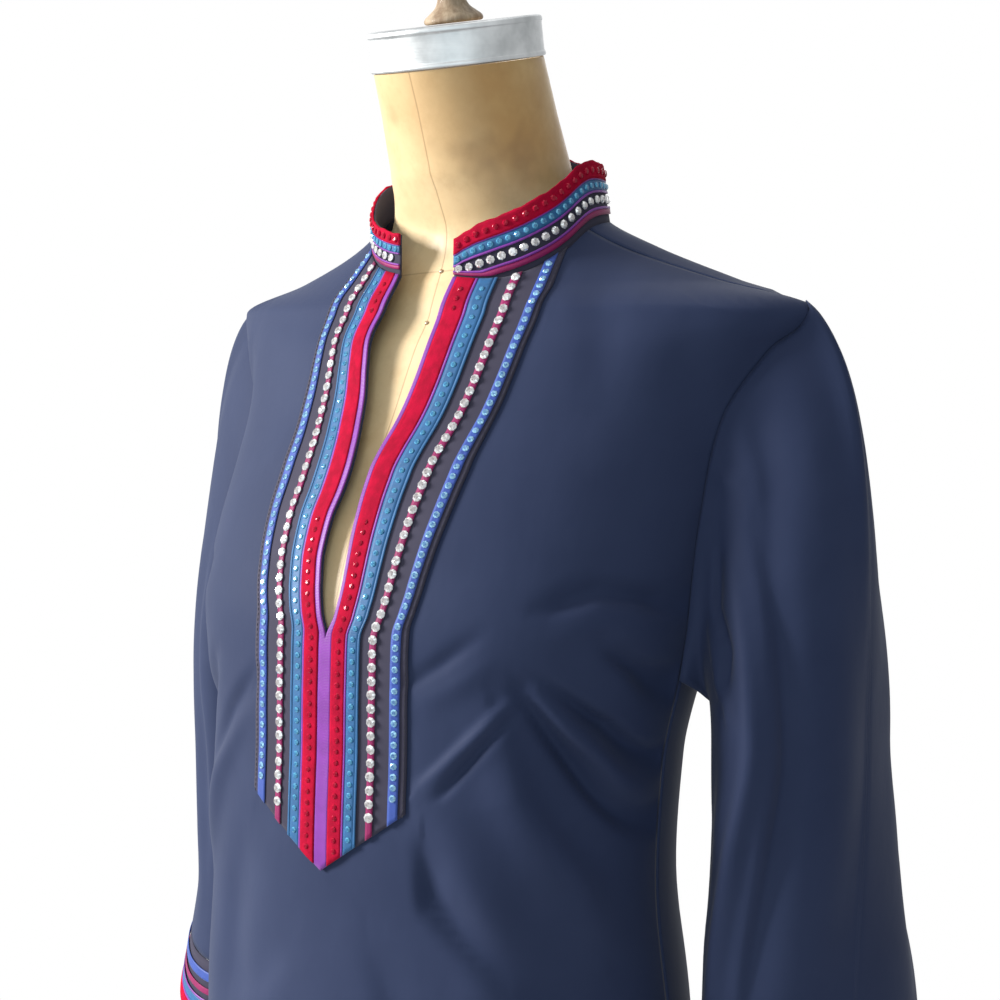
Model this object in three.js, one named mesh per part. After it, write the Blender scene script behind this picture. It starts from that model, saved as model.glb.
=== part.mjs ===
// Embellished tunic on a limbless dress form.
// Millimetres, +Z up, origin on the floor at the centre of the base's underside.
// The wearer faces -Y, and the wearer's left is +X.
import * as THREE from 'three';

// ---- driving dimensions -------------------------------------------------------------------------
const CLOTH = 1.2; // wall of the tunic's cloth
const SEAM = 0.3; // space between pieces that meet or lie on each other
const BIB_WALL = 1.0;
const RIBBON_WALL = 1.0;
const BIB_ROW = 5; // row of ROWS along the bib's lower edges

// Horizontal sections of the tunic's inner face. front and back are depths from the widest line,
// which lies at centre; the ease columns are the room between the form and the cloth.
const BODY = [
  { z: 785, half: 184, front: 122, back: 122, centre: -18, power: 2, easeSide: 20, easeFront: 12, easeBack: 12 },
  { z: 860, half: 171, front: 119, back: 118, centre: -19, power: 2, easeSide: 11, easeFront: 8, easeBack: 8 },
  { z: 945, half: 163, front: 118, back: 112, centre: -21, power: 2.1, easeSide: 15, easeFront: 14, easeBack: 18 },
  { z: 1035, half: 155, front: 113, back: 107, centre: -24, power: 2.1, easeSide: 28, easeFront: 24, easeBack: 20 },
  { z: 1100, half: 157, front: 113, back: 112, centre: -21, power: 2.1, easeSide: 19, easeFront: 16, easeBack: 15 },
  { z: 1150, half: 164, front: 118, back: 119, centre: -14, power: 2.2, easeSide: 12, easeFront: 7, easeBack: 9 },
  { z: 1190, half: 170, front: 123, back: 121, centre: -5, power: 2.25, easeSide: 9, easeFront: 1.4, easeBack: 6 },
  { z: 1225, half: 172, front: 123, back: 116, centre: 7, power: 2.2, easeSide: 8, easeFront: 1.6, easeBack: 5 },
  { z: 1267, half: 176, front: 120, back: 102, centre: 24, power: 2.1, easeSide: 10, easeFront: 5, easeBack: 7 },
  { z: 1300, half: 183, front: 113, back: 90, centre: 36, power: 2, easeSide: 14, easeFront: 6, easeBack: 12 },
  { z: 1340, half: 202, front: 106, back: 73, centre: 48, power: 1.9, easeSide: 26, easeFront: 9, easeBack: 20 },
  { z: 1362, half: 216, front: 101, back: 60, centre: 55, power: 1.75, easeSide: 46, easeFront: 12, easeBack: 22 },
  { z: 1380, half: 164, front: 90, back: 59, centre: 53, power: 1.65, easeSide: 24, easeFront: 11, easeBack: 18 },
  { z: 1400, half: 112, front: 72, back: 59, centre: 46, power: 1.7, easeSide: 15, easeFront: 8, easeBack: 13 },
  { z: 1418, half: 77, front: 58, back: 61, centre: 34, power: 1.9, easeSide: 7, easeFront: 5, easeBack: 7 },
  { z: 1432, half: 65, front: 56, back: 63, centre: 27, power: 2, easeSide: 4, easeFront: 3, easeBack: 4 },
  { z: 1450, half: 60, front: 58, back: 62, centre: 20, power: 2, easeSide: 3, easeFront: 3, easeBack: 3 },
];

// Heights of the front's rows at the middle, at the bib's edge and at the side.
const ROWS = [
  { middle: 785, bibEdge: 785, side: 785 },
  { middle: 850, bibEdge: 850, side: 848 },
  { middle: 910, bibEdge: 912, side: 908 },
  { middle: 960, bibEdge: 972, side: 962 },
  { middle: 1004, bibEdge: 1028, side: 1010 },
  { middle: 1040, bibEdge: 1079, side: 1054 },
  { middle: 1072, bibEdge: 1097, side: 1080 },
  { middle: 1101, bibEdge: 1118, side: 1104 },
  { middle: 1128, bibEdge: 1140, side: 1127 },
  { middle: 1153, bibEdge: 1161, side: 1150 },
  { middle: 1174, bibEdge: 1182, side: 1172 },
  { middle: 1199, bibEdge: 1203, side: 1194 },
  { middle: 1223, bibEdge: 1227, side: 1216 },
  { middle: 1247, bibEdge: 1252, side: 1239 },
  { middle: 1271, bibEdge: 1277, side: 1262 },
  { middle: 1295, bibEdge: 1302, side: 1286 },
  { middle: 1319, bibEdge: 1327, side: 1310 },
  { middle: 1342, bibEdge: 1352, side: 1332 },
  { middle: 1362, bibEdge: 1375, side: 1349 },
];
const UNDERARM = 1150; // height at the side where the armhole starts
const ARMHOLE_TOP = 1356; // where its two edges turn in to the shoulder's tip
const SHOULDER_BOTTOM = 1361;
const NECK_TOP = 1449;

// Neck seam in plan, fuller at the wearer's left front, and the shoulder seam's end at the armhole.
const NECK = {
  left: { half: 81, power: 2.8 },
  right: { half: 72, power: 2.2 },
  front: 61,
  back: 64,
  centre: 26,
};
const TIP = { x: 211, y: 50 };
const SEAM_ANGLE = 84; // plan angle from centre front where the shoulder seam meets the neck

// The slit's two edges: how far each lies from the centre line, how far the wearer's right one stands
// off the body, and how much wider or narrower than BIB_LINES the bib lies on each side.
const SLIT = [
  { z: 1174, left: 0, right: 0, standOff: 0, leftSpread: 0.991, rightSpread: 1.05 },
  { z: 1188, left: 5, right: 4.5, standOff: 1, leftSpread: 0.94, rightSpread: 1.018 },
  { z: 1204, left: 6.3, right: 8, standOff: 2.5, leftSpread: 0.955, rightSpread: 1.023 },
  { z: 1222, left: 5.5, right: 10, standOff: 4, leftSpread: 1.01, rightSpread: 1.045 },
  { z: 1238, left: 4.6, right: 10, standOff: 4, leftSpread: 1.07, rightSpread: 1.077 },
  { z: 1256, left: 3.8, right: 7.5, standOff: 4, leftSpread: 1.13, rightSpread: 1.13 },
  { z: 1268, left: 4.2, right: 7, standOff: 4, leftSpread: 1.155, rightSpread: 1.14 },
  { z: 1280, left: 6.5, right: 8.5, standOff: 4, leftSpread: 1.148, rightSpread: 1.115 },
  { z: 1294, left: 10.5, right: 12, standOff: 3.5, leftSpread: 1.13, rightSpread: 1.08 },
  { z: 1311, left: 14, right: 16, standOff: 3, leftSpread: 1.13, rightSpread: 1.02 },
  { z: 1328, left: 16.3, right: 21, standOff: 3, leftSpread: 1.14, rightSpread: 0.955 },
  { z: 1346, left: 17.6, right: 25, standOff: 3, leftSpread: 1.155, rightSpread: 0.91 },
  { z: 1364, left: 18, right: 23, standOff: 1.5, leftSpread: 1.17, rightSpread: 0.91 },
  { z: 1380, left: 20, right: 21.5, standOff: 0, leftSpread: 1.18, rightSpread: 0.94 },
];
const BIB_AT_NECK = { left: 53, right: 45 }; // plan angle that the bib takes up along the neck seam

// Lines across the bib, measured along it from the slit's edge: each ribbon lies between two of them.
const BIB_LINES = [0, 4.6, 5, 14.6, 15.6, 23, 30.8, 35, 44.6, 51, 55.5];
const BIB_RIBBONS = [
  { name: 'red', from: 2, to: 3 },
  { name: 'teal', from: 4, to: 5 },
  { name: 'magenta', from: 6, to: 7 },
  { name: 'blue', from: 8, to: 9 },
];
const FRONT_STEPS = [0, 0.1, 0.21, 0.33, 0.46, 0.6, 0.74, 0.87, 1]; // from the bib's edge to the side
const NECK_STEP = 2; // the step of FRONT_STEPS where neck and shoulder seam meet

// Armhole: how far each panel's edge lies from the widest line, by height.
const ARMHOLE = [
  { z: 1150, front: 0.3, back: 0.3 },
  { z: 1172, front: 4, back: 14 },
  { z: 1200, front: 10, back: 26 },
  { z: 1250, front: 19, back: 36 },
  { z: 1300, front: 25, back: 36 },
  { z: 1335, front: 19, back: 24 },
  { z: 1361, front: 5.2, back: -4.8 },
];

// Sleeve sections below the armhole. x is the distance outward, turn swings the front edge inward and
// dip lowers the front edge against the back one.
const SLEEVE = {
  left: [
    { z: 1115, x: 217, y: 37, long: 71, short: 43, turn: 0, dip: 0 },
    { z: 1060, x: 221, y: 35, long: 71, short: 42, turn: 8, dip: 0.02 },
    { z: 1010, x: 225, y: 33, long: 71, short: 41, turn: 18, dip: 0.05 },
    { z: 965, x: 229, y: 31, long: 71, short: 41, turn: 26, dip: 0.08 },
    { z: 928, x: 231, y: 27, long: 71, short: 41, turn: 30, dip: 0.1 },
    { z: 882, x: 233, y: 23, long: 72, short: 42, turn: 32, dip: 0.12 },
  ],
  right: [
    { z: 1115, x: 210, y: 54, long: 66, short: 41, turn: 4, dip: 0 },
    { z: 1060, x: 211, y: 52, long: 65, short: 40, turn: 12, dip: 0.06 },
    { z: 1010, x: 213, y: 49, long: 64, short: 40, turn: 20, dip: 0.14 },
    { z: 965, x: 218, y: 47, long: 63, short: 39, turn: 28, dip: 0.22 },
    { z: 928, x: 223, y: 43, long: 63, short: 39, turn: 31, dip: 0.28 },
    { z: 882, x: 229, y: 38, long: 65, short: 39, turn: 33, dip: 0.3 },
  ],
};
const SLEEVE_LAP = 2; // how far the sleeve's head reaches over the armhole's edge
// How far the head lies off the panels' inner face: everywhere, and more at the underarm and the tip.
const HEAD_LIFT = { least: CLOTH + SEAM + 0.3, underarm: 1.6, tip: 1.9 };
const HEAD_LEAVES = { outward: 0.56, down: 0.45 }; // direction in which the sleeve leaves the armhole
const ARMHOLE_CENTRE = { y: 38, z: 1256 };
const SLEEVE_SIDES = 24;
const CAP_ROWS = 8;
const TUBE_ROWS = 7;
const CUFF_TOP = 928;
const CUFF_FOOT = 882;
const CUFF_RIBBONS = [
  { name: 'red', from: 885, to: 894 },
  { name: 'teal', from: 895, to: 902 },
  { name: 'magenta', from: 906.5, to: 910.5 },
  { name: 'blue', from: 915, to: 921 },
];

// Stand collar by plan angle round the neck seam: its height, how far its top edge lies in from the
// seam, and the width that its ribbons are spread over, less at the left end where the corner is cut.
const COLLAR = [
  { degrees: 0, height: 21, inset: 1, width: 22 },
  { degrees: 18, height: 21.5, inset: 1, width: 22 },
  { degrees: 24, height: 26, inset: 1.5, width: 25.5 },
  { degrees: 32, height: 32, inset: 2, width: 28.5 },
  { degrees: 45, height: 37, inset: 3, width: 32 },
  { degrees: 60, height: 40, inset: 4, width: 33 },
  { degrees: 84, height: 38, inset: 5.5, width: 33 },
  { degrees: 105, height: 33, inset: 5.5, width: 33 },
  { degrees: 150, height: 30, inset: 4, width: 33 },
  { degrees: 200, height: 28, inset: 3, width: 33 },
  { degrees: 240, height: 24, inset: 2, width: 33 },
  { degrees: 280, height: 20.5, inset: 1, width: 33 },
  { degrees: 305, height: 22.5, inset: 0.5, width: 33 },
  { degrees: 325, height: 24.5, inset: 0.5, width: 33 },
  { degrees: 345, height: 23.5, inset: 0.5, width: 33 },
];
const COLLAR_RISE = 2.1; // height of its foot over the seam, clear of the panels' and the bib's walls
const COLLAR_SIDES = 48;
// Ribbons by how far their edges lie below the collar's top; least keeps the lowest one on the collar.
const COLLAR_RIBBONS = [
  { name: 'magenta', from: 30, to: 26.5, least: [0.02, 0.1] },
  { name: 'teal', from: 16.3, to: 10, least: [0, 0] },
  { name: 'red', from: 9.6, to: 0, least: [0, 0] },
];

// Soft folds: a line from one place on the cloth to another, its width and its depth (minus is a trough).
const FOLDS = [
  { name: 'bust to side, left', from: [70, 1122], to: [150, 1076], width: 22, depth: -4 },
  { name: 'ridge below bust, left', from: [66, 1092], to: [96, 970], width: 24, depth: 5 },
  { name: 'bust to side, right', from: [-74, 1118], to: [-150, 1070], width: 22, depth: -4 },
  { name: 'ridge below bust, right', from: [-76, 1090], to: [-104, 950], width: 24, depth: 4.5 },
  { name: 'hem flute, left', from: [110, 905], to: [118, 785], width: 26, depth: 7 },
  { name: 'hem flute, right', from: [-100, 920], to: [-114, 785], width: 25, depth: 6 },
  { name: 'hem flute, middle', from: [12, 900], to: [18, 785], width: 28, depth: 5 },
];
const BACK_FOLDS = [
  { name: 'waist tuck, left', from: [66, 1120], to: [70, 930], width: 22, depth: 5 },
  { name: 'waist tuck, right', from: [-72, 1130], to: [-64, 940], width: 23, depth: 5 },
  { name: 'drag from the armhole, left', from: [132, 1170], to: [60, 1110], width: 22, depth: 3.5 },
  { name: 'drag from the armhole, right', from: [-130, 1180], to: [-70, 1096], width: 23, depth: 4 },
  { name: 'hem flute, left', from: [90, 900], to: [98, 785], width: 26, depth: 7 },
  { name: 'hem flute, right', from: [-78, 910], to: [-92, 785], width: 25, depth: 7 },
];
const SLEEVE_FOLDS = [
  { name: 'outer trough', angle: 300, top: 1190, bottom: 980, width: 16, depth: -4 },
  { name: 'front ridge', angle: 330, top: 1160, bottom: 900, width: 16, depth: 4 },
  { name: 'underarm fold', angle: 232, top: 1130, bottom: 1040, width: 14, depth: 3.5 },
  { name: 'back trough', angle: 60, top: 1170, bottom: 950, width: 18, depth: -4 },
  { name: 'back ridge', angle: 110, top: 1100, bottom: 900, width: 18, depth: 4 },
];

// Dress form above and below the tunic's own sections.
const FORM_BOTTOM = [
  { z: 722, half: 150, front: 104, back: 100, centre: -18, power: 2.1 },
  { z: 735, half: 158, front: 109, back: 105, centre: -18, power: 2.1 },
];
const FORM_NECK = [
  { z: 1482, half: 54.5, front: 55, back: 55, centre: 9, power: 2 },
];
const FORM_SIDES = 32;
const NECK_TILT = 11; // degrees that the neck's top leans forward
const CAP = { radius: 53.5, height: 25, centreY: -3, centreZ: 1513 };
const POLE = { radius: 13, top: 721.7 };
const BASE = { radius: 215, rim: 14, hub: 30, height: 58 };

// ---- the cloth's form ---------------------------------------------------------------------------
// Smooth value of a table's column at a place, mostly a height z, through every row.
function at(table, name, place, by = 'z') {
  const last = table.length - 1;
  if (place <= table[0][by]) return table[0][name];
  if (place >= table[last][by]) return table[last][name];
  let i = 0;
  while (place > table[i + 1][by]) i += 1;
  const slope = (k) => {
    if (k <= 0 || k >= last) return 0;
    const before = (table[k][name] - table[k - 1][name]) / (table[k][by] - table[k - 1][by]);
    const after = (table[k + 1][name] - table[k][name]) / (table[k + 1][by] - table[k][by]);
    return before * after <= 0 ? 0 : (2 * before * after) / (before + after);
  };
  const step = table[i + 1][by] - table[i][by];
  const t = (place - table[i][by]) / step;
  const start = table[i][name] * (1 + 2 * t) * (1 - t) ** 2 + slope(i) * step * t * (1 - t) ** 2;
  const end = table[i + 1][name] * t * t * (3 - 2 * t) + slope(i + 1) * step * t * t * (t - 1);
  return start + end;
}

// 1 on the tunic's inner face, less inside it and more outside it.
function reach(x, y, z) {
  const dy = y - at(BODY, 'centre', z);
  const depth = at(BODY, dy < 0 ? 'front' : 'back', z);
  const power = at(BODY, 'power', z);
  return (Math.abs(x / at(BODY, 'half', z)) ** power + Math.abs(dy / depth) ** power) ** (1 / power);
}

// The cloth's outward direction: the gradient of reach.
function outward(p) {
  const h = 0.5;
  const slopeX = reach(p.x + h, p.y, p.z) - reach(p.x - h, p.y, p.z);
  const slopeY = reach(p.x, p.y + h, p.z) - reach(p.x, p.y - h, p.z);
  const slopeZ = reach(p.x, p.y, p.z + h) - reach(p.x, p.y, p.z - h);
  return new THREE.Vector3(slopeX, slopeY, slopeZ).normalize();
}

// Moves a point near the tunic's inner face onto it, straight along the face's outward direction.
function settle(point) {
  const place = point.clone();
  const h = 0.5;
  for (let i = 0; i < 6; i += 1) {
    const normal = outward(place);
    const ahead = place.clone().addScaledVector(normal, h);
    const here = reach(place.x, place.y, place.z);
    const slope = (reach(ahead.x, ahead.y, ahead.z) - here) / h;
    place.addScaledVector(normal, (1 - here) / slope);
  }
  return place;
}

// Front face of the body at a distance from the centre line.
function frontAt(x, z) {
  const power = at(BODY, 'power', z);
  const share = Math.max(0, 1 - Math.abs(x / at(BODY, 'half', z)) ** power) ** (1 / power);
  return new THREE.Vector3(x, at(BODY, 'centre', z) - at(BODY, 'front', z) * share, z);
}

// Side of the body, a distance in front of its widest line (or behind it, when negative).
function sideAt(side, forward, z) {
  const power = at(BODY, 'power', z);
  const depth = at(BODY, forward > 0 ? 'front' : 'back', z);
  const share = Math.max(0, 1 - Math.abs(forward / depth) ** power) ** (1 / power);
  return new THREE.Vector3(side * at(BODY, 'half', z) * share, at(BODY, 'centre', z) - forward, z);
}

// Top of the body over a place in plan, found by halving between the shoulder's widest section and
// the top of BODY.
function topAt(x, y) {
  let low = SHOULDER_BOTTOM;
  let high = NECK_TOP;
  for (let i = 0; i < 40; i += 1) {
    const middle = (low + high) / 2;
    if (reach(x, y, middle) < 1) low = middle;
    else high = middle;
  }
  return new THREE.Vector3(x, y, low);
}

// Point of the neck seam at a plan angle in degrees from centre front, positive to the wearer's left.
function neckAt(degrees) {
  const angle = THREE.MathUtils.degToRad(degrees);
  const { half, power } = Math.sin(angle) >= 0 ? NECK.left : NECK.right;
  const front = Math.cos(angle) > 0;
  const bend = front ? power : 2;
  const across = Math.abs(Math.sin(angle)) / half;
  const ahead = Math.abs(Math.cos(angle)) / (front ? NECK.front : NECK.back);
  const radius = (across ** bend + ahead ** bend) ** (-1 / bend);
  return topAt(radius * Math.sin(angle), NECK.centre - radius * Math.cos(angle));
}

// Plan angle, from centre front, where the neck seam lies a distance from the centre line.
function neckAngle(side, distance) {
  const { half, power } = NECK[side];
  const ahead = NECK.front * (1 - (distance / half) ** power) ** (1 / power);
  return THREE.MathUtils.radToDeg(Math.atan2(distance, ahead));
}

// Point of the shoulder seam: share 0 at the neck, 1 at the armhole. lag keeps the two panels apart.
function shoulderAt(side, share, lag) {
  const neck = neckAt(side * SEAM_ANGLE);
  const x = THREE.MathUtils.lerp(neck.x, side * TIP.x, share);
  const y = THREE.MathUtils.lerp(neck.y, TIP.y, share) + lag;
  return topAt(x, y);
}

// How far a fold lifts the cloth at a place.
function foldLift(folds, x, z) {
  let lift = 0;
  for (const fold of folds) {
    const [x0, z0] = fold.from;
    const [x1, z1] = fold.to;
    const length = Math.hypot(x1 - x0, z1 - z0);
    const along = ((x - x0) * (x1 - x0) + (z - z0) * (z1 - z0)) / length;
    const across = ((x - x0) * (z1 - z0) - (z - z0) * (x1 - x0)) / length;
    const past = Math.max(0, -along, along - length);
    const fade = Math.exp(-((across / fold.width) ** 2) - (past / (1.6 * fold.width)) ** 2);
    const swell = 0.55 + 0.45 * Math.sin(Math.PI * THREE.MathUtils.clamp(along / length, 0, 1));
    lift += fold.depth * fade * swell;
  }
  return lift;
}

// A sheet's grid: rows of points, each with its place on the inner face and its outward direction.
function clothPoint(place, folds, standOff = 0) {
  const normal = outward(place);
  const lift = foldLift(folds, place.x, place.z) + standOff;
  return { place: place.clone().addScaledVector(normal, lift), normal };
}

// Fills a grid between four edges, each a list of points, and lays it on the body.
function patch(left, right, bottom, top, steps, folds, standOff) {
  return left.map((leftPoint, row) => {
    const v = row / (left.length - 1);
    return steps.map((u, column) => {
      const place = new THREE.Vector3();
      place.addScaledVector(leftPoint, 1 - u).addScaledVector(right[row], u);
      if (v === 1) place.copy(top[column]);
      else {
        const lastTop = top[top.length - 1];
        const lastBottom = bottom[bottom.length - 1];
        const cornerTop = top[0].clone().lerp(lastTop, u);
        const cornerBottom = bottom[0].clone().lerp(lastBottom, u);
        place.addScaledVector(top[column].clone().sub(cornerTop), v ** 3);
        place.addScaledVector(bottom[column].clone().sub(cornerBottom), 1 - v);
      }
      return clothPoint(v === 1 ? place : settle(place), folds, standOff ? standOff(u, place.z) : 0);
    });
  });
}

// ---- solids from sheets -------------------------------------------------------------------------
// Turns one or more grids that share edges into a closed wall between two lifts from the sheet.
function wall(grids, from, to) {
  const keys = new Map();
  const points = [];
  const faces = [];
  const indexOf = (point) => {
    const key = point.place.toArray().map((value) => Math.round(value * 200)).join();
    if (!keys.has(key)) {
      keys.set(key, points.length);
      points.push(point);
    }
    return keys.get(key);
  };
  const addFace = (a, b, c) => {
    if (a !== b && b !== c && c !== a) faces.push([a, b, c]);
  };
  for (const grid of grids) {
    for (let row = 0; row + 1 < grid.length; row += 1) {
      for (let column = 0; column + 1 < grid[row].length; column += 1) {
        const a = indexOf(grid[row][column]);
        const b = indexOf(grid[row][column + 1]);
        const c = indexOf(grid[row + 1][column + 1]);
        const d = indexOf(grid[row + 1][column]);
        addFace(a, b, c);
        addFace(a, c, d);
      }
    }
  }
  const count = points.length;
  const positions = [];
  for (const lift of [from, to]) {
    for (const { place, normal } of points) {
      positions.push(...place.clone().addScaledVector(normal, lift).toArray());
    }
  }
  const indices = [];
  const open = new Map();
  for (const [a, b, c] of faces) {
    indices.push(a, c, b, a + count, b + count, c + count);
    for (const [start, end] of [[a, b], [b, c], [c, a]]) {
      if (!open.delete(`${end},${start}`)) open.set(`${start},${end}`, [start, end]);
    }
  }
  for (const [start, end] of open.values()) {
    indices.push(start, end, end + count, start, end + count, start + count);
  }
  const geometry = new THREE.BufferGeometry();
  geometry.setAttribute('position', new THREE.Float32BufferAttribute(positions, 3));
  geometry.setIndex(indices);
  return geometry;
}

// Part of a grid: rows and columns from one number to another.
function part(grid, rows, columns) {
  return grid.slice(rows[0], rows[1] + 1).map((row) => row.slice(columns[0], columns[1] + 1));
}

const tunicOnForm = new THREE.Group();
function add(name, geometry, color, roughness = 0.8, metalness = 0) {
  geometry.computeVertexNormals();
  const mesh = new THREE.Mesh(geometry, new THREE.MeshStandardMaterial({ color, roughness, metalness }));
  mesh.name = name;
  tunicOnForm.add(mesh);
}
const COLOURS = {
  navy: 0x272c42,
  charcoal: 0x35323d,
  red: 0xb01228,
  teal: 0x1f7490,
  magenta: 0xa8175c,
  blue: 0x5068c8,
  purple: 0x8a48b4,
};

// ---- front and bib ------------------------------------------------------------------------------
// The front is two half grids that share the centre line below the slit. Each half has the bib's
// lines next to the centre, parallel to the slit's edge, and wider steps from there to the side.
const seamColumns = FRONT_STEPS.length - 1;
const frontGrids = {};
for (const [side, sign] of [['left', 1], ['right', -1]]) {
  const slitHalf = (z) => (z <= SLIT[0].z ? 0 : at(SLIT, side, z));
  const neckStart = neckAngle(side, SLIT[SLIT.length - 1][side]);
  const bibWidth = BIB_LINES[BIB_LINES.length - 1];
  const neckSpan = BIB_AT_NECK[side];
  const middle = ROWS.map(({ middle: z }) => frontAt(sign * slitHalf(z), z));
  middle.push(neckAt(sign * neckStart));
  const bibEdge = ROWS.map(({ middle: low, bibEdge: z }) => {
    return frontAt(sign * (slitHalf(low) + bibWidth * at(SLIT, `${side}Spread`, low)), z);
  });
  bibEdge.push(neckAt(sign * (neckStart + neckSpan)));
  const sideEdge = ROWS.map(({ side: z }) => {
    return sideAt(sign, z < UNDERARM ? SEAM / 2 + 0.1 : at(ARMHOLE, 'front', z), z);
  });
  sideEdge.push(shoulderAt(sign, 1, -SEAM / 2 - 0.1));
  const bibSteps = BIB_LINES.map((line) => line / bibWidth);
  const bibTop = bibSteps.map((u) => neckAt(sign * (neckStart + neckSpan * u)));
  const bibBottom = bibSteps.map((u) => middle[0].clone().lerp(bibEdge[0], u));
  const standOff = (u, z) => (side === 'right' ? at(SLIT, 'standOff', z) * (1 - u) ** 2 : 0);
  const bibPart = patch(middle, bibEdge, bibBottom, bibTop, bibSteps, FOLDS, standOff);
  const sideTop = FRONT_STEPS.map((u, column) => {
    if (column <= NECK_STEP) {
      const start = neckStart + neckSpan;
      return neckAt(sign * THREE.MathUtils.lerp(start, SEAM_ANGLE - 0.35, column / NECK_STEP));
    }
    return shoulderAt(sign, (column - NECK_STEP) / (seamColumns - NECK_STEP), -SEAM / 2 - 0.1);
  });
  const sideBottom = FRONT_STEPS.map((u) => bibEdge[0].clone().lerp(sideEdge[0], u));
  const sidePart = patch(bibEdge, sideEdge, sideBottom, sideTop, FRONT_STEPS, FOLDS);
  const flip = (grid) => (side === 'left' ? grid : grid.map((row) => [...row].reverse()));
  frontGrids[side] = { bibPart, sidePart, flip };
}
const bothSides = Object.values(frontGrids);
const topRow = ROWS.length;
add('front', wall(bothSides.flatMap(({ bibPart, sidePart, flip }) => [flip(bibPart), flip(sidePart)]), 0, CLOTH),
  COLOURS.navy);

const bibFrom = CLOTH + SEAM;
const ribbonFrom = bibFrom + BIB_WALL + SEAM;
const bibColumns = [0, BIB_LINES.length - 1];
add('bib', wall(bothSides.map(({ bibPart, flip }) => flip(part(bibPart, [BIB_ROW, topRow], bibColumns))),
  bibFrom, bibFrom + BIB_WALL), COLOURS.charcoal);
add('bib_purple', wall(bothSides.map(({ bibPart, flip }) => flip(part(bibPart, [BIB_ROW, topRow], [0, 1]))),
  ribbonFrom, ribbonFrom + RIBBON_WALL), COLOURS.purple);
for (const [side, { bibPart, flip }] of Object.entries(frontGrids)) {
  for (const { name, from, to } of BIB_RIBBONS) {
    const strip = flip(part(bibPart, [BIB_ROW, topRow], [from, to]));
    add(`bib_${name}_${side}`, wall([strip], ribbonFrom, ribbonFrom + RIBBON_WALL), COLOURS[name]);
  }
}

// ---- back ---------------------------------------------------------------------------------------
const backEdge = (sign) => {
  const edge = ROWS.map(({ side: z }) => {
    return sideAt(sign, z < UNDERARM ? -SEAM / 2 - 0.1 : -at(ARMHOLE, 'back', z), z);
  });
  edge.push(shoulderAt(sign, 1, SEAM / 2 + 0.1));
  return edge;
};
const BACK_SHOULDER_STEPS = 5;
const BACK_NECK_STEPS = 10;
const backTop = [];
for (let i = 0; i < BACK_SHOULDER_STEPS; i += 1) {
  backTop.push(shoulderAt(1, 1 - i / BACK_SHOULDER_STEPS, SEAM / 2 + 0.1));
}
for (let i = 0; i <= BACK_NECK_STEPS; i += 1) {
  const start = SEAM_ANGLE + 0.35;
  backTop.push(neckAt(THREE.MathUtils.lerp(start, 360 - start, i / BACK_NECK_STEPS)));
}
for (let i = 1; i <= BACK_SHOULDER_STEPS; i += 1) {
  backTop.push(shoulderAt(-1, i / BACK_SHOULDER_STEPS, SEAM / 2 + 0.1));
}
// The lower rows start level, as half an oval in plan, and rise towards the top edge's line. From the
// last of them each line goes over the round of the shoulder to the seam in even steps.
const backLeft = backEdge(1);
const backRight = backEdge(-1);
const tipLeft = backLeft.pop();
const tipRight = backRight.pop();
for (const share of [0.3, 0.6, 0.82, 1]) {
  backLeft.push(backLeft[ROWS.length - 1].clone().lerp(tipLeft, share));
  backRight.push(backRight[ROWS.length - 1].clone().lerp(tipRight, share));
}
const BACK_LEVEL_ROW = 15; // the last row that lies level
const HEART = { inward: 0.85, forward: 15, down: 15 }; // where the rows over the shoulder swing about
const BLEND_FROM = 0.4;
const BLEND_TO = 1.1;
const blendAt = (row) => THREE.MathUtils.smoothstep(row / ROWS.length, BLEND_FROM, BLEND_TO);
const levelRow = (row) => backTop.map((top, column) => {
  const start = backLeft[row];
  const angle = (Math.PI * column) / (backTop.length - 1);
  const oval = (edge) => {
    const depth = at(BODY, 'back', edge.z) * Math.sin(angle);
    return new THREE.Vector3(edge.x * Math.cos(angle), edge.y + depth, edge.z);
  };
  return settle(oval(start).addScaledVector(top.clone().sub(oval(tipLeft)), blendAt(row)));
});
const lastLevel = levelRow(BACK_LEVEL_ROW);
// Swings from one place on the body to another about a place inside it, and finds the face by halving.
const swing = (from, to, share) => {
  const heart = new THREE.Vector3(to.x * HEART.inward, to.y - HEART.forward, from.z - HEART.down);
  const first = from.clone().sub(heart).normalize();
  const direction = first.lerp(to.clone().sub(heart).normalize(), share).normalize();
  let low = 0;
  let high = 2 * from.distanceTo(to);
  for (let i = 0; i < 40; i += 1) {
    const middle = (low + high) / 2;
    const place = heart.clone().addScaledVector(direction, middle);
    if (reach(place.x, place.y, place.z) < 1) low = middle;
    else high = middle;
  }
  return heart.addScaledVector(direction, low);
};
const backGrid = backLeft.map((start, row) => {
  const level = row <= BACK_LEVEL_ROW ? levelRow(row) : null;
  const share = (row - BACK_LEVEL_ROW) / (backLeft.length - 1 - BACK_LEVEL_ROW);
  return backTop.map((top, column) => {
    if (column === 0) return clothPoint(start, BACK_FOLDS);
    if (column === backTop.length - 1) return clothPoint(backRight[row], BACK_FOLDS);
    if (level) return clothPoint(level[column], BACK_FOLDS);
    return clothPoint(share === 1 ? top : swing(lastLevel[column], top, share), BACK_FOLDS);
  });
});
add('back', wall([backGrid], 0, CLOTH), COLOURS.navy);

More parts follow.
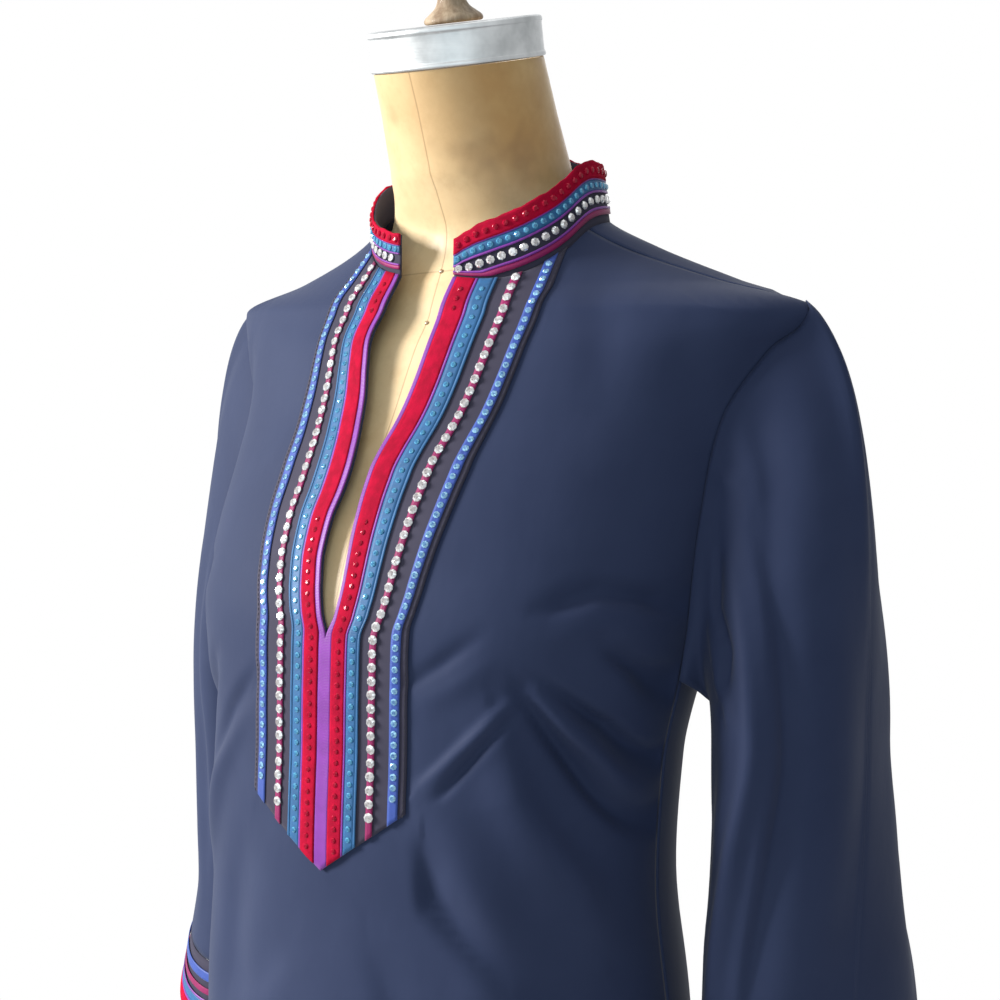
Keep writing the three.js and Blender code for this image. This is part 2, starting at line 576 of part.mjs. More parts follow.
// ---- sleeves and cuffs --------------------------------------------------------------------------
// A sleeve starts as the armhole's outline and becomes a level oval: each long line leaves the body
// outward, bends over and runs down. Angle 0 is outermost, 90 is the back, 180 the body side.
function armholeLoop(sign) {
  const tip = shoulderAt(sign, 1, 0);
  const steps = 12;
  const frontEdge = [];
  const rearEdge = [];
  for (let i = 0; i < steps; i += 1) {
    const z = THREE.MathUtils.lerp(UNDERARM, ARMHOLE_TOP, i / (steps - 1));
    frontEdge.push(sideAt(sign, at(ARMHOLE, 'front', z), z));
    rearEdge.push(sideAt(sign, -at(ARMHOLE, 'back', z), z));
  }
  return new THREE.CatmullRomCurve3([tip, ...rearEdge.reverse(), ...frontEdge.slice(1)], true);
}

function ovalAt(table, sign, degrees, z) {
  const angle = THREE.MathUtils.degToRad(degrees);
  const turn = THREE.MathUtils.degToRad(at(table, 'turn', z));
  const across = at(table, 'short', z) * Math.cos(angle);
  const along = at(table, 'long', z) * Math.sin(angle);
  const x = at(table, 'x', z) + across * Math.cos(turn) + along * Math.sin(turn);
  const y = at(table, 'y', z) - across * Math.sin(turn) + along * Math.cos(turn);
  return new THREE.Vector3(sign * x, y, z + at(table, 'dip', z) * along);
}

function sleeveLift(degrees, z) {
  let lift = 0;
  for (const { angle, top, bottom, width, depth } of SLEEVE_FOLDS) {
    const past = Math.max(0, z - top, bottom - z);
    const apart = Math.abs(((degrees - angle + 540) % 360) - 180);
    lift += depth * Math.exp(-((apart / width) ** 2) - (past / 30) ** 2);
  }
  return lift;
}

// Outward directions of a closed grid of rings, from its neighbours, with the first ring repeated last.
function withNormals(rings, sign) {
  const rowCount = rings.length;
  const sides = rings[0].length - 1;
  return rings.map((ring, row) => ring.map((place, column) => {
    const up = rings[Math.max(0, row - 1)][column];
    const down = rings[Math.min(rowCount - 1, row + 1)][column];
    const next = ring[(column + 1) % sides];
    const before = ring[(column + sides - 1) % sides];
    const normal = next.clone().sub(before).cross(up.clone().sub(down)).normalize();
    return { place, normal: normal.multiplyScalar(sign) };
  }));
}

for (const [side, sign] of [['left', 1], ['right', -1]]) {
  const rows = SLEEVE[side];
  const table = [...rows].reverse();
  const loop = armholeLoop(sign);
  const angles = Array.from({ length: SLEEVE_SIDES + 1 }, (_, i) => (i % SLEEVE_SIDES) * (360 / SLEEVE_SIDES));
  const loopPoints = loop.getSpacedPoints(SLEEVE_SIDES);
  const rings = [];
  const ovalTop = rows[0].z;
  for (let row = 0; row < CAP_ROWS; row += 1) {
    const s = row / CAP_ROWS;
    rings.push(angles.map((degrees, i) => {
      const edge = loopPoints[i % SLEEVE_SIDES];
      const low = THREE.MathUtils.clamp((loopPoints[0].z - edge.z) / (loopPoints[0].z - UNDERARM), 0, 1);
      const seat = outward(edge);
      const lap = new THREE.Vector3(0, edge.y - ARMHOLE_CENTRE.y, edge.z - ARMHOLE_CENTRE.z);
      lap.addScaledVector(seat, -lap.dot(seat)).normalize();
      const lift = HEAD_LIFT.least + HEAD_LIFT.underarm * low + HEAD_LIFT.tip * Math.max(0, 1 - 5 * low);
      const start = edge.clone().addScaledVector(seat, lift);
      start.addScaledVector(lap, SLEEVE_LAP);
      const end = ovalAt(table, sign, degrees, ovalTop);
      const length = start.distanceTo(end);
      const leave = new THREE.Vector3(sign * HEAD_LEAVES.outward, 0, -HEAD_LEAVES.down);
      leave.multiplyScalar(length * (1 - 0.5 * low));
      const arrive = new THREE.Vector3(0, 0, -length);
      const place = new THREE.Vector3();
      place.addScaledVector(start, (1 + 2 * s) * (1 - s) ** 2);
      place.addScaledVector(leave, s * (1 - s) ** 2);
      place.addScaledVector(end, s * s * (3 - 2 * s));
      place.addScaledVector(arrive, s * s * (s - 1));
      return place;
    }));
  }
  for (let row = 0; row <= TUBE_ROWS; row += 1) {
    const z = THREE.MathUtils.lerp(ovalTop, CUFF_TOP + 2 * SEAM, row / TUBE_ROWS);
    rings.push(angles.map((degrees) => ovalAt(table, sign, degrees, z)));
  }
  const sleeveGrid = withNormals(rings, sign);
  sleeveGrid.forEach((ring) => ring.forEach(({ place, normal }, i) => {
    place.addScaledVector(normal, sleeveLift(angles[i], place.z));
  }));
  const orient = (grid) => (side === 'left' ? [...grid].reverse() : grid);
  add(`sleeve_${side}`, wall([orient(sleeveGrid)], 0, CLOTH), COLOURS.navy);

  // The cuff is straight from its seam to its hem, so each ribbon lies on the same straight lines.
  const cuffEdges = [CUFF_TOP, CUFF_FOOT].map((z) => angles.map((degrees) => ovalAt(table, sign, degrees, z)));
  const [cuffSeam, cuffHem] = withNormals(cuffEdges, sign);
  const cuffRing = (z) => cuffSeam.map((seam, i) => {
    const share = (CUFF_TOP - z) / (CUFF_TOP - CUFF_FOOT);
    const place = seam.place.clone().lerp(cuffHem[i].place, share);
    const normal = seam.normal.clone().lerp(cuffHem[i].normal, share).normalize();
    place.addScaledVector(normal, sleeveLift(angles[i], CUFF_TOP));
    return { place, normal };
  });
  add(`cuff_${side}`, wall([orient([CUFF_TOP, CUFF_FOOT].map(cuffRing))], 0, CLOTH), COLOURS.charcoal);
  for (const { name, from, to } of CUFF_RIBBONS) {
    const strip = orient([to, from].map(cuffRing));
    add(`cuff_${side}_${name}`, wall([strip], CLOTH + SEAM, CLOTH + SEAM + RIBBON_WALL), COLOURS[name]);
  }
}

// ---- stand collar -------------------------------------------------------------------------------
const collarEnds = [
  neckAngle('left', SLIT[SLIT.length - 1].left),
  360 - neckAngle('right', SLIT[SLIT.length - 1].right),
];
const collarLine = (shareAt) => Array.from({ length: COLLAR_SIDES + 1 }, (_, i) => {
  const degrees = THREE.MathUtils.lerp(collarEnds[0], collarEnds[1], i / COLLAR_SIDES);
  const foot = neckAt(degrees);
  foot.z += COLLAR_RISE;
  const tangent = neckAt(degrees + 1).sub(neckAt(degrees - 1));
  const away = new THREE.Vector3(tangent.y, -tangent.x, 0).normalize();
  const top = foot.clone().addScaledVector(away, -at(COLLAR, 'inset', degrees, 'degrees'));
  top.z += at(COLLAR, 'height', degrees, 'degrees');
  away.z = 0.12;
  return { place: foot.lerp(top, shareAt(degrees)), normal: away.normalize() };
});
add('collar', wall([[() => 0, () => 1].map(collarLine)], 0, CLOTH), COLOURS.charcoal);
for (const { name, from, to, least } of COLLAR_RIBBONS) {
  const edges = [from, to].map((below, i) => (degrees) => {
    return Math.max(least[i], 1 - below / at(COLLAR, 'width', degrees, 'degrees'));
  });
  const strip = edges.map(collarLine);
  add(`collar_${name}`, wall([strip], CLOTH + SEAM, CLOTH + SEAM + RIBBON_WALL), COLOURS[name]);
}

// ---- dress form ---------------------------------------------------------------------------------
// Closed body through level rings, with a flat bottom and a tilted flat top for the neck cap.
function formRing(row) {
  return Array.from({ length: FORM_SIDES }, (_, i) => {
    const angle = (2 * Math.PI * i) / FORM_SIDES;
    const bend = (value) => Math.sign(value) * Math.abs(value) ** (2 / row.power);
    const depth = Math.cos(angle) > 0 ? row.front : row.back;
    return new THREE.Vector3(
      row.half * bend(Math.sin(angle)),
      row.centre - depth * bend(Math.cos(angle)),
      row.z,
    );
  });
}
function closedRings(rings) {
  const positions = rings.flat().flatMap((point) => point.toArray());
  const sides = rings[0].length;
  const last = (rings.length - 1) * sides;
  const indices = [];
  for (let row = 0; row + 1 < rings.length; row += 1) {
    for (let i = 0; i < sides; i += 1) {
      const a = row * sides + i;
      const b = row * sides + ((i + 1) % sides);
      indices.push(a, b, b + sides, a, b + sides, a + sides);
    }
  }
  for (let i = 1; i + 1 < sides; i += 1) {
    indices.push(0, i + 1, i, last, last + i, last + i + 1);
  }
  const geometry = new THREE.BufferGeometry();
  geometry.setAttribute('position', new THREE.Float32BufferAttribute(positions, 3));
  geometry.setIndex(indices);
  return geometry;
}
const FORM_HEIGHTS = [785, 845, 905, 960, 1010, 1055, 1095, 1130, 1162, 1190, 1218, 1245, 1270, 1295, 1318, 1337,
  1351, 1361, 1370, 1380, 1390, 1402, 1416, 1432, 1450];
const inBody = FORM_HEIGHTS.map((z) => ({
  z,
  half: at(BODY, 'half', z) - at(BODY, 'easeSide', z),
  front: at(BODY, 'front', z) - at(BODY, 'easeFront', z),
  back: at(BODY, 'back', z) - at(BODY, 'easeBack', z),
  centre: at(BODY, 'centre', z),
  power: at(BODY, 'power', z),
}));
const formRings = [...FORM_BOTTOM, ...inBody, ...FORM_NECK].map(formRing);
const tilt = new THREE.Euler(THREE.MathUtils.degToRad(NECK_TILT), 0, 0);
const capCentre = new THREE.Vector3(0, CAP.centreY, CAP.centreZ);
formRings.push(Array.from({ length: FORM_SIDES }, (_, i) => {
  const angle = (2 * Math.PI * i) / FORM_SIDES;
  const point = new THREE.Vector3((CAP.radius - 1) * Math.sin(angle), -(CAP.radius - 1) * Math.cos(angle), -SEAM);
  return point.applyEuler(tilt).add(capCentre);
}));
add('form_body', closedRings(formRings), 0xe6c48c, 0.55);

// Neck cap, a metal band with a flat top, and the wooden finial on it, both square to the neck.
function turned(profile, sides) {
  const points = profile.map(([radius, height]) => new THREE.Vector2(radius, height));
  const geometry = new THREE.LatheGeometry(points, sides);
  geometry.rotateX(Math.PI / 2);
  return geometry;
}
function mergedByPlace(geometry) {
  const positions = [];
  const keys = new Map();
  const source = geometry.getAttribute('position');
  const remap = [];
  for (let i = 0; i < source.count; i += 1) {
    const point = new THREE.Vector3().fromBufferAttribute(source, i);
    const key = point.toArray().map((value) => Math.round(value * 1000)).join();
    if (!keys.has(key)) {
      keys.set(key, positions.length / 3);
      positions.push(point.x, point.y, point.z);
    }
    remap.push(keys.get(key));
  }
  const index = Array.from(geometry.getIndex().array, (i) => remap[i]);
  const indices = [];
  for (let i = 0; i < index.length; i += 3) {
    const [a, b, c] = index.slice(i, i + 3);
    if (a !== b && b !== c && c !== a) indices.push(a, b, c);
  }
  const merged = new THREE.BufferGeometry();
  merged.setAttribute('position', new THREE.Float32BufferAttribute(positions, 3));
  merged.setIndex(indices);
  return merged;
}
const onNeck = (geometry) => {
  geometry.applyMatrix4(new THREE.Matrix4().makeRotationFromEuler(tilt));
  geometry.translate(capCentre.x, capCentre.y, capCentre.z);
  return mergedByPlace(geometry);
};
add('form_cap', onNeck(turned([[0, 0], [CAP.radius, 0], [CAP.radius + 0.5, 1], [CAP.radius + 0.5, CAP.height - 1.5],
  [CAP.radius - 1, CAP.height], [0, CAP.height]], FORM_SIDES)), 0xb4b6b8, 0.35, 0.9);
const finialFoot = CAP.height + SEAM;
add('form_finial', onNeck(turned([[0, finialFoot], [18, finialFoot], [18.5, finialFoot + 3], [14, finialFoot + 7],
  [9, finialFoot + 12], [8, finialFoot + 18], [13, finialFoot + 25], [17, finialFoot + 36],
  [16, finialFoot + 46], [11, finialFoot + 54], [5, finialFoot + 58], [0, finialFoot + 59]], 16)),
0x8a6a48, 0.7);

// Pole from the body's flat bottom into the base, and the round base with its raised hub.
add('form_pole', mergedByPlace(turned([[0, BASE.height + SEAM], [POLE.radius, BASE.height + SEAM],
  [POLE.radius, POLE.top], [0, POLE.top]], 16)), 0x4a4a4c, 0.5, 0.6);
add('form_base', mergedByPlace(turned([[0, 0], [BASE.radius, 0], [BASE.radius, BASE.rim - 4],
  [BASE.radius - 6, BASE.rim], [120, BASE.rim + 8], [60, BASE.rim + 17], [BASE.hub, BASE.rim + 24],
  [BASE.hub - 4, BASE.height - 3], [BASE.hub - 8, BASE.height], [0, BASE.height]], 32)), 0x2c2c2e, 0.6, 0.5);

export default tunicOnForm;
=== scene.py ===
import math

import bmesh
import bpy
import numpy as np
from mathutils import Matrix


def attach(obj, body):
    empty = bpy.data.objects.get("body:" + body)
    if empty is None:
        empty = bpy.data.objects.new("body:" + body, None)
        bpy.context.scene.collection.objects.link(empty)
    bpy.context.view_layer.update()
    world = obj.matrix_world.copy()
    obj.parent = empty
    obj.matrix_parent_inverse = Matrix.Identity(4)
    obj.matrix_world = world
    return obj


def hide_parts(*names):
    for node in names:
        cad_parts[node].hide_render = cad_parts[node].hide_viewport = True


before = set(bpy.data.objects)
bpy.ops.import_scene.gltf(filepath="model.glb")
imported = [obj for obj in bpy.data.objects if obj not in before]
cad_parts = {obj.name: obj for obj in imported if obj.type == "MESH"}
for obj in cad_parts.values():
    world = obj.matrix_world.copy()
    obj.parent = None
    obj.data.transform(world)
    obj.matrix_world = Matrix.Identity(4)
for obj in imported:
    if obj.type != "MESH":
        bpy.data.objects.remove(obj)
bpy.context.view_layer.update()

# ---- camera, floor and light ----------------------------------------------------------------------
# The camera stands at chest height, 36 degrees round to the wearer's left, and looks slightly down.
# A pale floor and a pale room carry soft light from big panels.
EYE = (0.7053, -0.9708, 1.35)
LENS = 69.1
SENSOR = 36
ROUND_TO_LEFT, TURNED_BACK, LOOKS_DOWN = 36, 1.13, 5.02

camera = bpy.data.objects.new("camera", bpy.data.cameras.new("camera"))
camera.data.lens = LENS
camera.data.sensor_width = SENSOR
camera.location = EYE
camera.rotation_euler = (math.radians(90 - LOOKS_DOWN), 0, math.radians(ROUND_TO_LEFT - TURNED_BACK))
bpy.context.scene.collection.objects.link(camera)
bpy.context.scene.camera = camera


def mesh_piece(name, points, faces, uv=None, smooth=True):
    """A mesh object from an array of points in millimetres and an array of faces; uv has a pair per point."""
    mesh = bpy.data.meshes.new(name)
    faces = np.asarray(faces, np.int32)
    sides = faces.shape[1]
    mesh.vertices.add(len(points))
    mesh.vertices.foreach_set("co", (np.asarray(points, np.float64) * 0.001).astype(np.float32).ravel())
    mesh.loops.add(faces.size)
    mesh.loops.foreach_set("vertex_index", faces.ravel())
    mesh.polygons.add(len(faces))
    mesh.polygons.foreach_set("loop_start", np.arange(0, faces.size, sides, dtype=np.int32))
    mesh.polygons.foreach_set("use_smooth", np.full(len(faces), smooth))
    if uv is not None:
        layer = mesh.uv_layers.new(name="UVMap")
        layer.data.foreach_set("uv", np.asarray(uv, np.float32)[faces.ravel()].ravel())
    mesh.update(calc_edges=True)
    mesh.validate()
    piece = bpy.data.objects.new(name, mesh)
    bpy.context.scene.collection.objects.link(piece)
    return piece


CHEST = (0, 0, 1.2)


def light_panel(name, place, size, power, colour):
    """A square area light at a place, turned to face the tunic's chest."""
    lamp = bpy.data.lights.new(name, "AREA")
    lamp.energy = power
    lamp.size = size
    lamp.color = colour
    panel = bpy.data.objects.new(name, lamp)
    panel.location = place
    x, y, z = np.array(place) - CHEST
    panel.rotation_euler = (math.atan2(math.hypot(x, y), z), 0, math.atan2(x, -y))
    bpy.context.scene.collection.objects.link(panel)


LIGHTS = [
    # name, place, size, power, colour
    ("key", (-2.5, -1.9, 2.2), 1.1, 178, (1, 0.98, 0.95)),
    ("fill", (1.3, -2.5, 1.7), 2.0, 20, (0.78, 0.94, 1)),
    ("top", (-0.2, -0.2, 3.2), 2.2, 14, (1, 1, 1)),
    ("rear", (-1.2, 2.4, 2.0), 2.0, 12, (1, 1, 1))]
for light in LIGHTS:
    light_panel(*light)

ROOM_LIGHT = 0.19
ROOM_MIRRORED = 0.55
world = bpy.data.worlds.new("room")
bpy.context.scene.world = world
world.use_nodes = True
room = world.node_tree.nodes["Background"]
room.inputs[0].default_value = (1, 1, 1, 1)
# The lit walls are seen and mirrored brighter than the light that they give back to the cloth.
ray_kind = world.node_tree.nodes.new("ShaderNodeLightPath")
seen = world.node_tree.nodes.new("ShaderNodeMath")
seen.operation = "MULTIPLY_ADD"
seen.inputs[1].default_value = 1 - ROOM_LIGHT
mirrored = world.node_tree.nodes.new("ShaderNodeMath")
mirrored.operation = "MULTIPLY_ADD"
mirrored.inputs[1].default_value = ROOM_MIRRORED
mirrored.inputs[2].default_value = ROOM_LIGHT
world.node_tree.links.new(ray_kind.outputs["Is Glossy Ray"], mirrored.inputs[0])
world.node_tree.links.new(ray_kind.outputs["Is Camera Ray"], seen.inputs[0])
world.node_tree.links.new(mirrored.outputs[0], seen.inputs[2])
world.node_tree.links.new(seen.outputs[0], room.inputs[1])
bpy.context.scene.view_settings.view_transform = "Standard"


class Socket:
    """A node's output: + - and * on it, with numbers or other outputs, add Math nodes."""

    def __init__(self, tree, link):
        self.tree, self.link = tree, link

    def maths(self, operation, *values):
        node = self.tree.nodes.new("ShaderNodeMath")
        node.operation = operation
        for place, value in enumerate(values):
            if isinstance(value, Socket):
                self.tree.links.new(value.link, node.inputs[place])
            else:
                node.inputs[place].default_value = value
        return Socket(self.tree, node.outputs[0])

    def __add__(self, other):
        return self.maths("ADD", self, other)

    def __sub__(self, other):
        return self.maths("SUBTRACT", self, other)

    def __rsub__(self, other):
        return self.maths("SUBTRACT", other, self)

    def __mul__(self, other):
        return self.maths("MULTIPLY", self, other)

    __radd__ = __add__
    __rmul__ = __mul__

    def at_least(self, other):
        return self.maths("MAXIMUM", self, other)

    def limited(self):
        """Never below 0 or above 1."""
        return self.maths("MINIMUM", self.at_least(0.0), 1.0)

    def step(self, low, high):
        """0 below low, 1 above high, smooth between."""
        return node_of(self.tree, "ShaderNodeMapRange", {"interpolation_type": "SMOOTHSTEP"},
                       Value=self, **{"From Min": low, "From Max": high})


def node_of(tree, kind, settings=(), output=0, **values):
    """A node of a kind, with its settings made first and then its sockets' values or links."""
    node = tree.nodes.new(kind)
    for name, value in dict(settings).items():
        setattr(node, name, value)
    for name, value in values.items():
        name = name.replace("_", " ") if name not in node.inputs else name
        socket = node.inputs[name]
        if isinstance(value, Socket):
            tree.links.new(value.link, socket)
        else:
            socket.default_value = value
    return Socket(tree, node.outputs[output])


def mixed(tree, factor, first, second):
    """A colour between two, by a factor that may vary."""
    node = tree.nodes.new("ShaderNodeMix")
    node.data_type = "RGBA"
    for place, value in ((0, factor), (6, first), (7, second)):
        if isinstance(value, Socket):
            tree.links.new(value.link, node.inputs[place])
        else:
            node.inputs[place].default_value = value if place == 0 else (*value, 1)
    return Socket(tree, node.outputs[2])


class Finish:
    """A material with one Principled shader; places come from the object or from the piece's own UV map."""

    def __init__(self, name, **constants):
        self.material = bpy.data.materials.new(name)
        self.material.use_nodes = True
        self.tree = self.material.node_tree
        self.shader = self.tree.nodes["Principled BSDF"]
        for socket, value in constants.items():
            self.shader.inputs[socket.replace("_", " ")].default_value = value

    def node(self, kind, settings=(), output=0, **values):
        return node_of(self.tree, kind, settings, output, **values)

    def place(self, scale=(1, 1, 1), uv=False, turn=(0, 0, 0)):
        """Object or UV coordinates, scaled (a count per metre) and turned."""
        source = self.node("ShaderNodeTexCoord", output=2 if uv else 3)
        return self.node("ShaderNodeMapping", Vector=source, Scale=scale, Rotation=turn)

    def noise(self, scale, detail=3.0, roughness=0.5, stretch=(1, 1, 1), uv=False, turn=(0, 0, 0)):
        places = self.place(stretch, uv, turn)
        return self.node("ShaderNodeTexNoise", Vector=places, Scale=scale, Detail=detail, Roughness=roughness)

    def waves(self, per_metre, along):
        """Even waves from 0 to 1 along one UV direction."""
        part = self.node("ShaderNodeSeparateXYZ", output=0 if along == "u" else 1, Vector=self.place(uv=True))
        return part.maths("SINE", part * (2 * math.pi * per_metre)) * 0.5 + 0.5

    def feed(self, socket, value):
        self.tree.links.new(value.link, self.shader.inputs[socket])

    def bump(self, height, strength, distance):
        self.feed("Normal", self.node("ShaderNodeBump", Height=height, Strength=strength, Distance=distance))


FLOOR_HALF = 1500
FLOOR_DROP = 1
floor_finish = Finish("pale floor", Roughness=0.8, Base_Color=(0.82, 0.82, 0.81, 1))
around_floor = ((-1, -1), (1, -1), (1, 1), (-1, 1))
floor_corners = [(x * FLOOR_HALF, y * FLOOR_HALF, -FLOOR_DROP) for x, y in around_floor]
floor = mesh_piece("floor", floor_corners, [[0, 1, 2, 3]])
floor.data.materials.append(floor_finish.material)


# ---- the tunic's own form -------------------------------------------------------------------------
# All the panels lie on one body form, given by level sections in millimetres: half width, depth in
# front of and behind the widest line, and that line's place. The panels hang from it as cut cloth.
BODY = np.array([
    # z, half, front, back, centre, power
    (785, 184, 122, 122, -18, 2), (860, 171, 119, 118, -19, 2), (945, 163, 118, 112, -21, 2.1),
    (1035, 155, 113, 107, -24, 2.1), (1100, 157, 113, 112, -21, 2.1), (1150, 164, 118, 119, -14, 2.2),
    (1190, 170, 123, 121, -5, 2.25), (1225, 172, 123, 116, 7, 2.2), (1267, 176, 120, 102, 24, 2.1),
    (1300, 183, 113, 90, 36, 2), (1340, 202, 106, 73, 48, 1.9), (1362, 216, 101, 60, 55, 1.75),
    (1380, 164, 90, 59, 53, 1.65), (1400, 112, 72, 59, 46, 1.7), (1418, 77, 58, 61, 34, 1.9),
    (1432, 65, 56, 63, 27, 2), (1450, 60, 58, 62, 20, 2)])
HALF, FRONT, BACK, CENTRE, POWER = 1, 2, 3, 4, 5
# Room between the dress form and the cloth at the sides, in front and behind, in BODY's columns.
EASES = np.array([
    # z, side, front, back
    (785, 20, 12, 12), (860, 11, 8, 8), (945, 15, 14, 18), (1035, 28, 24, 20), (1100, 19, 16, 15),
    (1150, 12, 7, 9), (1190, 9, 1.4, 6), (1225, 8, 1.6, 5), (1267, 10, 5, 7), (1300, 14, 6, 12),
    (1340, 26, 9, 20), (1362, 46, 12, 22), (1380, 24, 11, 18), (1400, 15, 8, 13), (1418, 7, 5, 7),
    (1432, 4, 3, 4), (1450, 3, 3, 3)])
CLOTH = 1.2
SEAM = 0.3
EDGE_GAP = SEAM / 2 + 0.1  # how far a panel's edge stops short of the seam's line
SEAM_GAP_ANGLE = 0.35  # the same round the neck, in degrees
UNDERARM = 1150
TOP_FROM, TOP_TO = 1361, 1449  # the heights that the shoulders' tops lie between
HALVINGS = 40
NECK_FRONT, NECK_BACK, NECK_CENTRE = 61, 64, 26
NECK_SIDES = {1: (81, 2.8), -1: (72, 2.2)}  # half width and power, wearer's left and right
TIP_X, TIP_Y = 211, 50
SIDES = {"left": 1, "right": -1}  # the wearer's
SEAM_ANGLE = 84


def along(table, column, z):
    """A table's column at heights z, smooth and never past its rows: a monotone cubic through them."""
    zs, values = table[:, 0], table[:, column]
    steps = np.diff(zs)
    rises = np.diff(values) / steps
    slopes = np.zeros(len(zs))
    product = rises[:-1] * rises[1:]
    slopes[1:-1] = np.where(product > 0, 2 * product / np.where(product > 0, rises[:-1] + rises[1:], 1), 0)
    z = np.clip(z, zs[0], zs[-1])
    i = np.clip(np.searchsorted(zs, z, side="left") - 1, 0, len(zs) - 2)
    t = (z - zs[i]) / steps[i]
    start = values[i] * (1 + 2 * t) * (1 - t) ** 2 + slopes[i] * steps[i] * t * (1 - t) ** 2
    return start + values[i + 1] * t * t * (3 - 2 * t) + slopes[i + 1] * steps[i] * t * t * (t - 1)


def reach(p):
    """1 on the body form, less inside: a superellipse in each level section."""
    dy = p[..., 1] - along(BODY, CENTRE, p[..., 2])
    depth = np.where(dy < 0, along(BODY, FRONT, p[..., 2]), along(BODY, BACK, p[..., 2]))
    power = along(BODY, POWER, p[..., 2])
    sides = np.abs(p[..., 0] / along(BODY, HALF, p[..., 2])) ** power
    return (sides + np.abs(dy / depth) ** power) ** (1 / power)


PROBE = 0.5
SETTLING_STEPS = 6


def one_long(directions):
    """Directions, each made one long."""
    return directions / np.linalg.norm(directions, axis=-1, keepdims=True)


def outward(p):
    """The form's outward direction: the gradient of reach, made one long."""
    return one_long(np.stack([reach(p + step) - reach(p - step) for step in np.eye(3) * PROBE], -1))


def settle(p):
    """Places moved straight onto the form, by Newton's steps along the outward direction."""
    for _ in range(SETTLING_STEPS):
        normal = outward(p)
        here = reach(p)
        slope = (reach(p + normal * PROBE) - here) / PROBE
        p = p + normal * ((1 - here) / slope)[..., None]
    return p


def joined(*parts):
    """x, y and z, each an array or one number, as an array of places."""
    return np.stack(np.broadcast_arrays(*parts), -1)


def front_at(x, z):
    """The front face at a distance from the centre line."""
    power = along(BODY, POWER, z)
    share = np.maximum(0, 1 - np.abs(x / along(BODY, HALF, z)) ** power) ** (1 / power)
    return joined(x, along(BODY, CENTRE, z) - along(BODY, FRONT, z) * share, z)


def side_at(side, forward, z):
    """The side, a distance in front of the widest line, or behind it where negative."""
    power = along(BODY, POWER, z)
    depth = np.where(forward > 0, along(BODY, FRONT, z), along(BODY, BACK, z))
    share = np.maximum(0, 1 - np.abs(forward / depth) ** power) ** (1 / power)
    return joined(side * along(BODY, HALF, z) * share, along(BODY, CENTRE, z) - forward, z)


def top_at(x, y):
    """The form's top over places in plan, by halving a height range."""
    x, y = np.broadcast_arrays(np.asarray(x, float), np.asarray(y, float))
    low, high = np.full(x.shape, float(TOP_FROM)), np.full(x.shape, float(TOP_TO))
    for _ in range(HALVINGS):
        middle = (low + high) / 2
        inside = reach(joined(x, y, middle)) < 1
        low, high = np.where(inside, middle, low), np.where(inside, high, middle)
    return joined(x, y, low)


def neck_at(degrees):
    """The neck seam at plan angles from centre front, positive to the wearer's left."""
    angle = np.radians(degrees)
    across, ahead = np.sin(angle), np.cos(angle)
    left, right = NECK_SIDES[1], NECK_SIDES[-1]
    half, power = (np.where(across >= 0, *pair) for pair in zip(left, right))
    power = np.where(ahead > 0, power, 2)
    depth = np.where(ahead > 0, NECK_FRONT, NECK_BACK)
    radius = (np.abs(across / half) ** power + np.abs(ahead / depth) ** power) ** (-1 / power)
    return top_at(radius * across, NECK_CENTRE - radius * ahead)


def neck_angle(sign, distance):
    """The plan angle where the neck seam lies a distance from the centre line."""
    half, power = NECK_SIDES[sign]
    return math.degrees(math.atan2(distance, NECK_FRONT * (1 - (distance / half) ** power) ** (1 / power)))


def shoulder_at(side, share, lag):
    """The shoulder seam: share 0 at the neck, 1 at the armhole; lag moves it towards the back."""
    neck = neck_at(side * SEAM_ANGLE)
    return top_at(neck[0] + (side * TIP_X - neck[0]) * share, neck[1] + (TIP_Y - neck[1]) * share + lag)


def smoothly(values, at):
    """Values at even places 0, 1, 2 ... read at any place between, by the monotone cubic."""
    table = np.stack([np.arange(len(values)), values], -1).astype(float)
    return along(table, 1, at)


def crease_lift(creases, x, z):
    """How far creases lift the cloth. Each runs along a line of points, and is soft across: a trough or
    ridge of its own depth, fading at both ends and steeper on the side that sharp names."""
    lift = np.zeros(np.shape(x))
    for points, width, depth, sharp in creases:
        points = np.array(points, float)
        lengths = np.linalg.norm(np.diff(points, axis=0), axis=1)
        total = lengths.sum()
        best = np.full(np.shape(x), 1e9)
        place, side = np.zeros(np.shape(x)), np.zeros(np.shape(x))
        gone = 0.0
        for start, end, length in zip(points[:-1], points[1:], lengths):
            direction = (end - start) / length
            t = np.clip((x - start[0]) * direction[0] + (z - start[1]) * direction[1], 0, length)
            gap_x, gap_z = x - start[0] - t * direction[0], z - start[1] - t * direction[1]
            gap = np.hypot(gap_x, gap_z)
            nearer = gap < best
            best = np.where(nearer, gap, best)
            place = np.where(nearer, (gone + t) / total, place)
            side = np.where(nearer, np.sign(gap_x * direction[1] - gap_z * direction[0]), side)
            gone += length
        spread = width * (1 - sharp * side)
        fade = np.sin(np.pi * np.clip(place * 0.9 + 0.05, 0, 1)) ** 0.8
        lift += depth * fade * np.exp(-(best / spread) ** 2)
    return lift


ROOM_KEPT = 1  # millimetres of the room under the cloth that no trough takes
ROOM_TAKEN = 0.8  # the most of the rest that a trough takes


def creased(grid, normal, creases, calm):
    """How far creases lift a grid's places; troughs stop clear of the dress form."""
    x, y, z = grid[..., 0], grid[..., 1], grid[..., 2]
    share = np.clip(np.abs(x) / along(BODY, HALF, z), 0, 1) ** 2
    facing = np.where(y < along(BODY, CENTRE, z), along(EASES, FRONT, z), along(EASES, BACK, z))
    room = facing * (1 - share) + along(EASES, HALF, z) * share
    lift = crease_lift(creases, x, z) * calm
    return normal * np.maximum(lift, -ROOM_TAKEN * np.maximum(room - ROOM_KEPT, 0))[..., None]


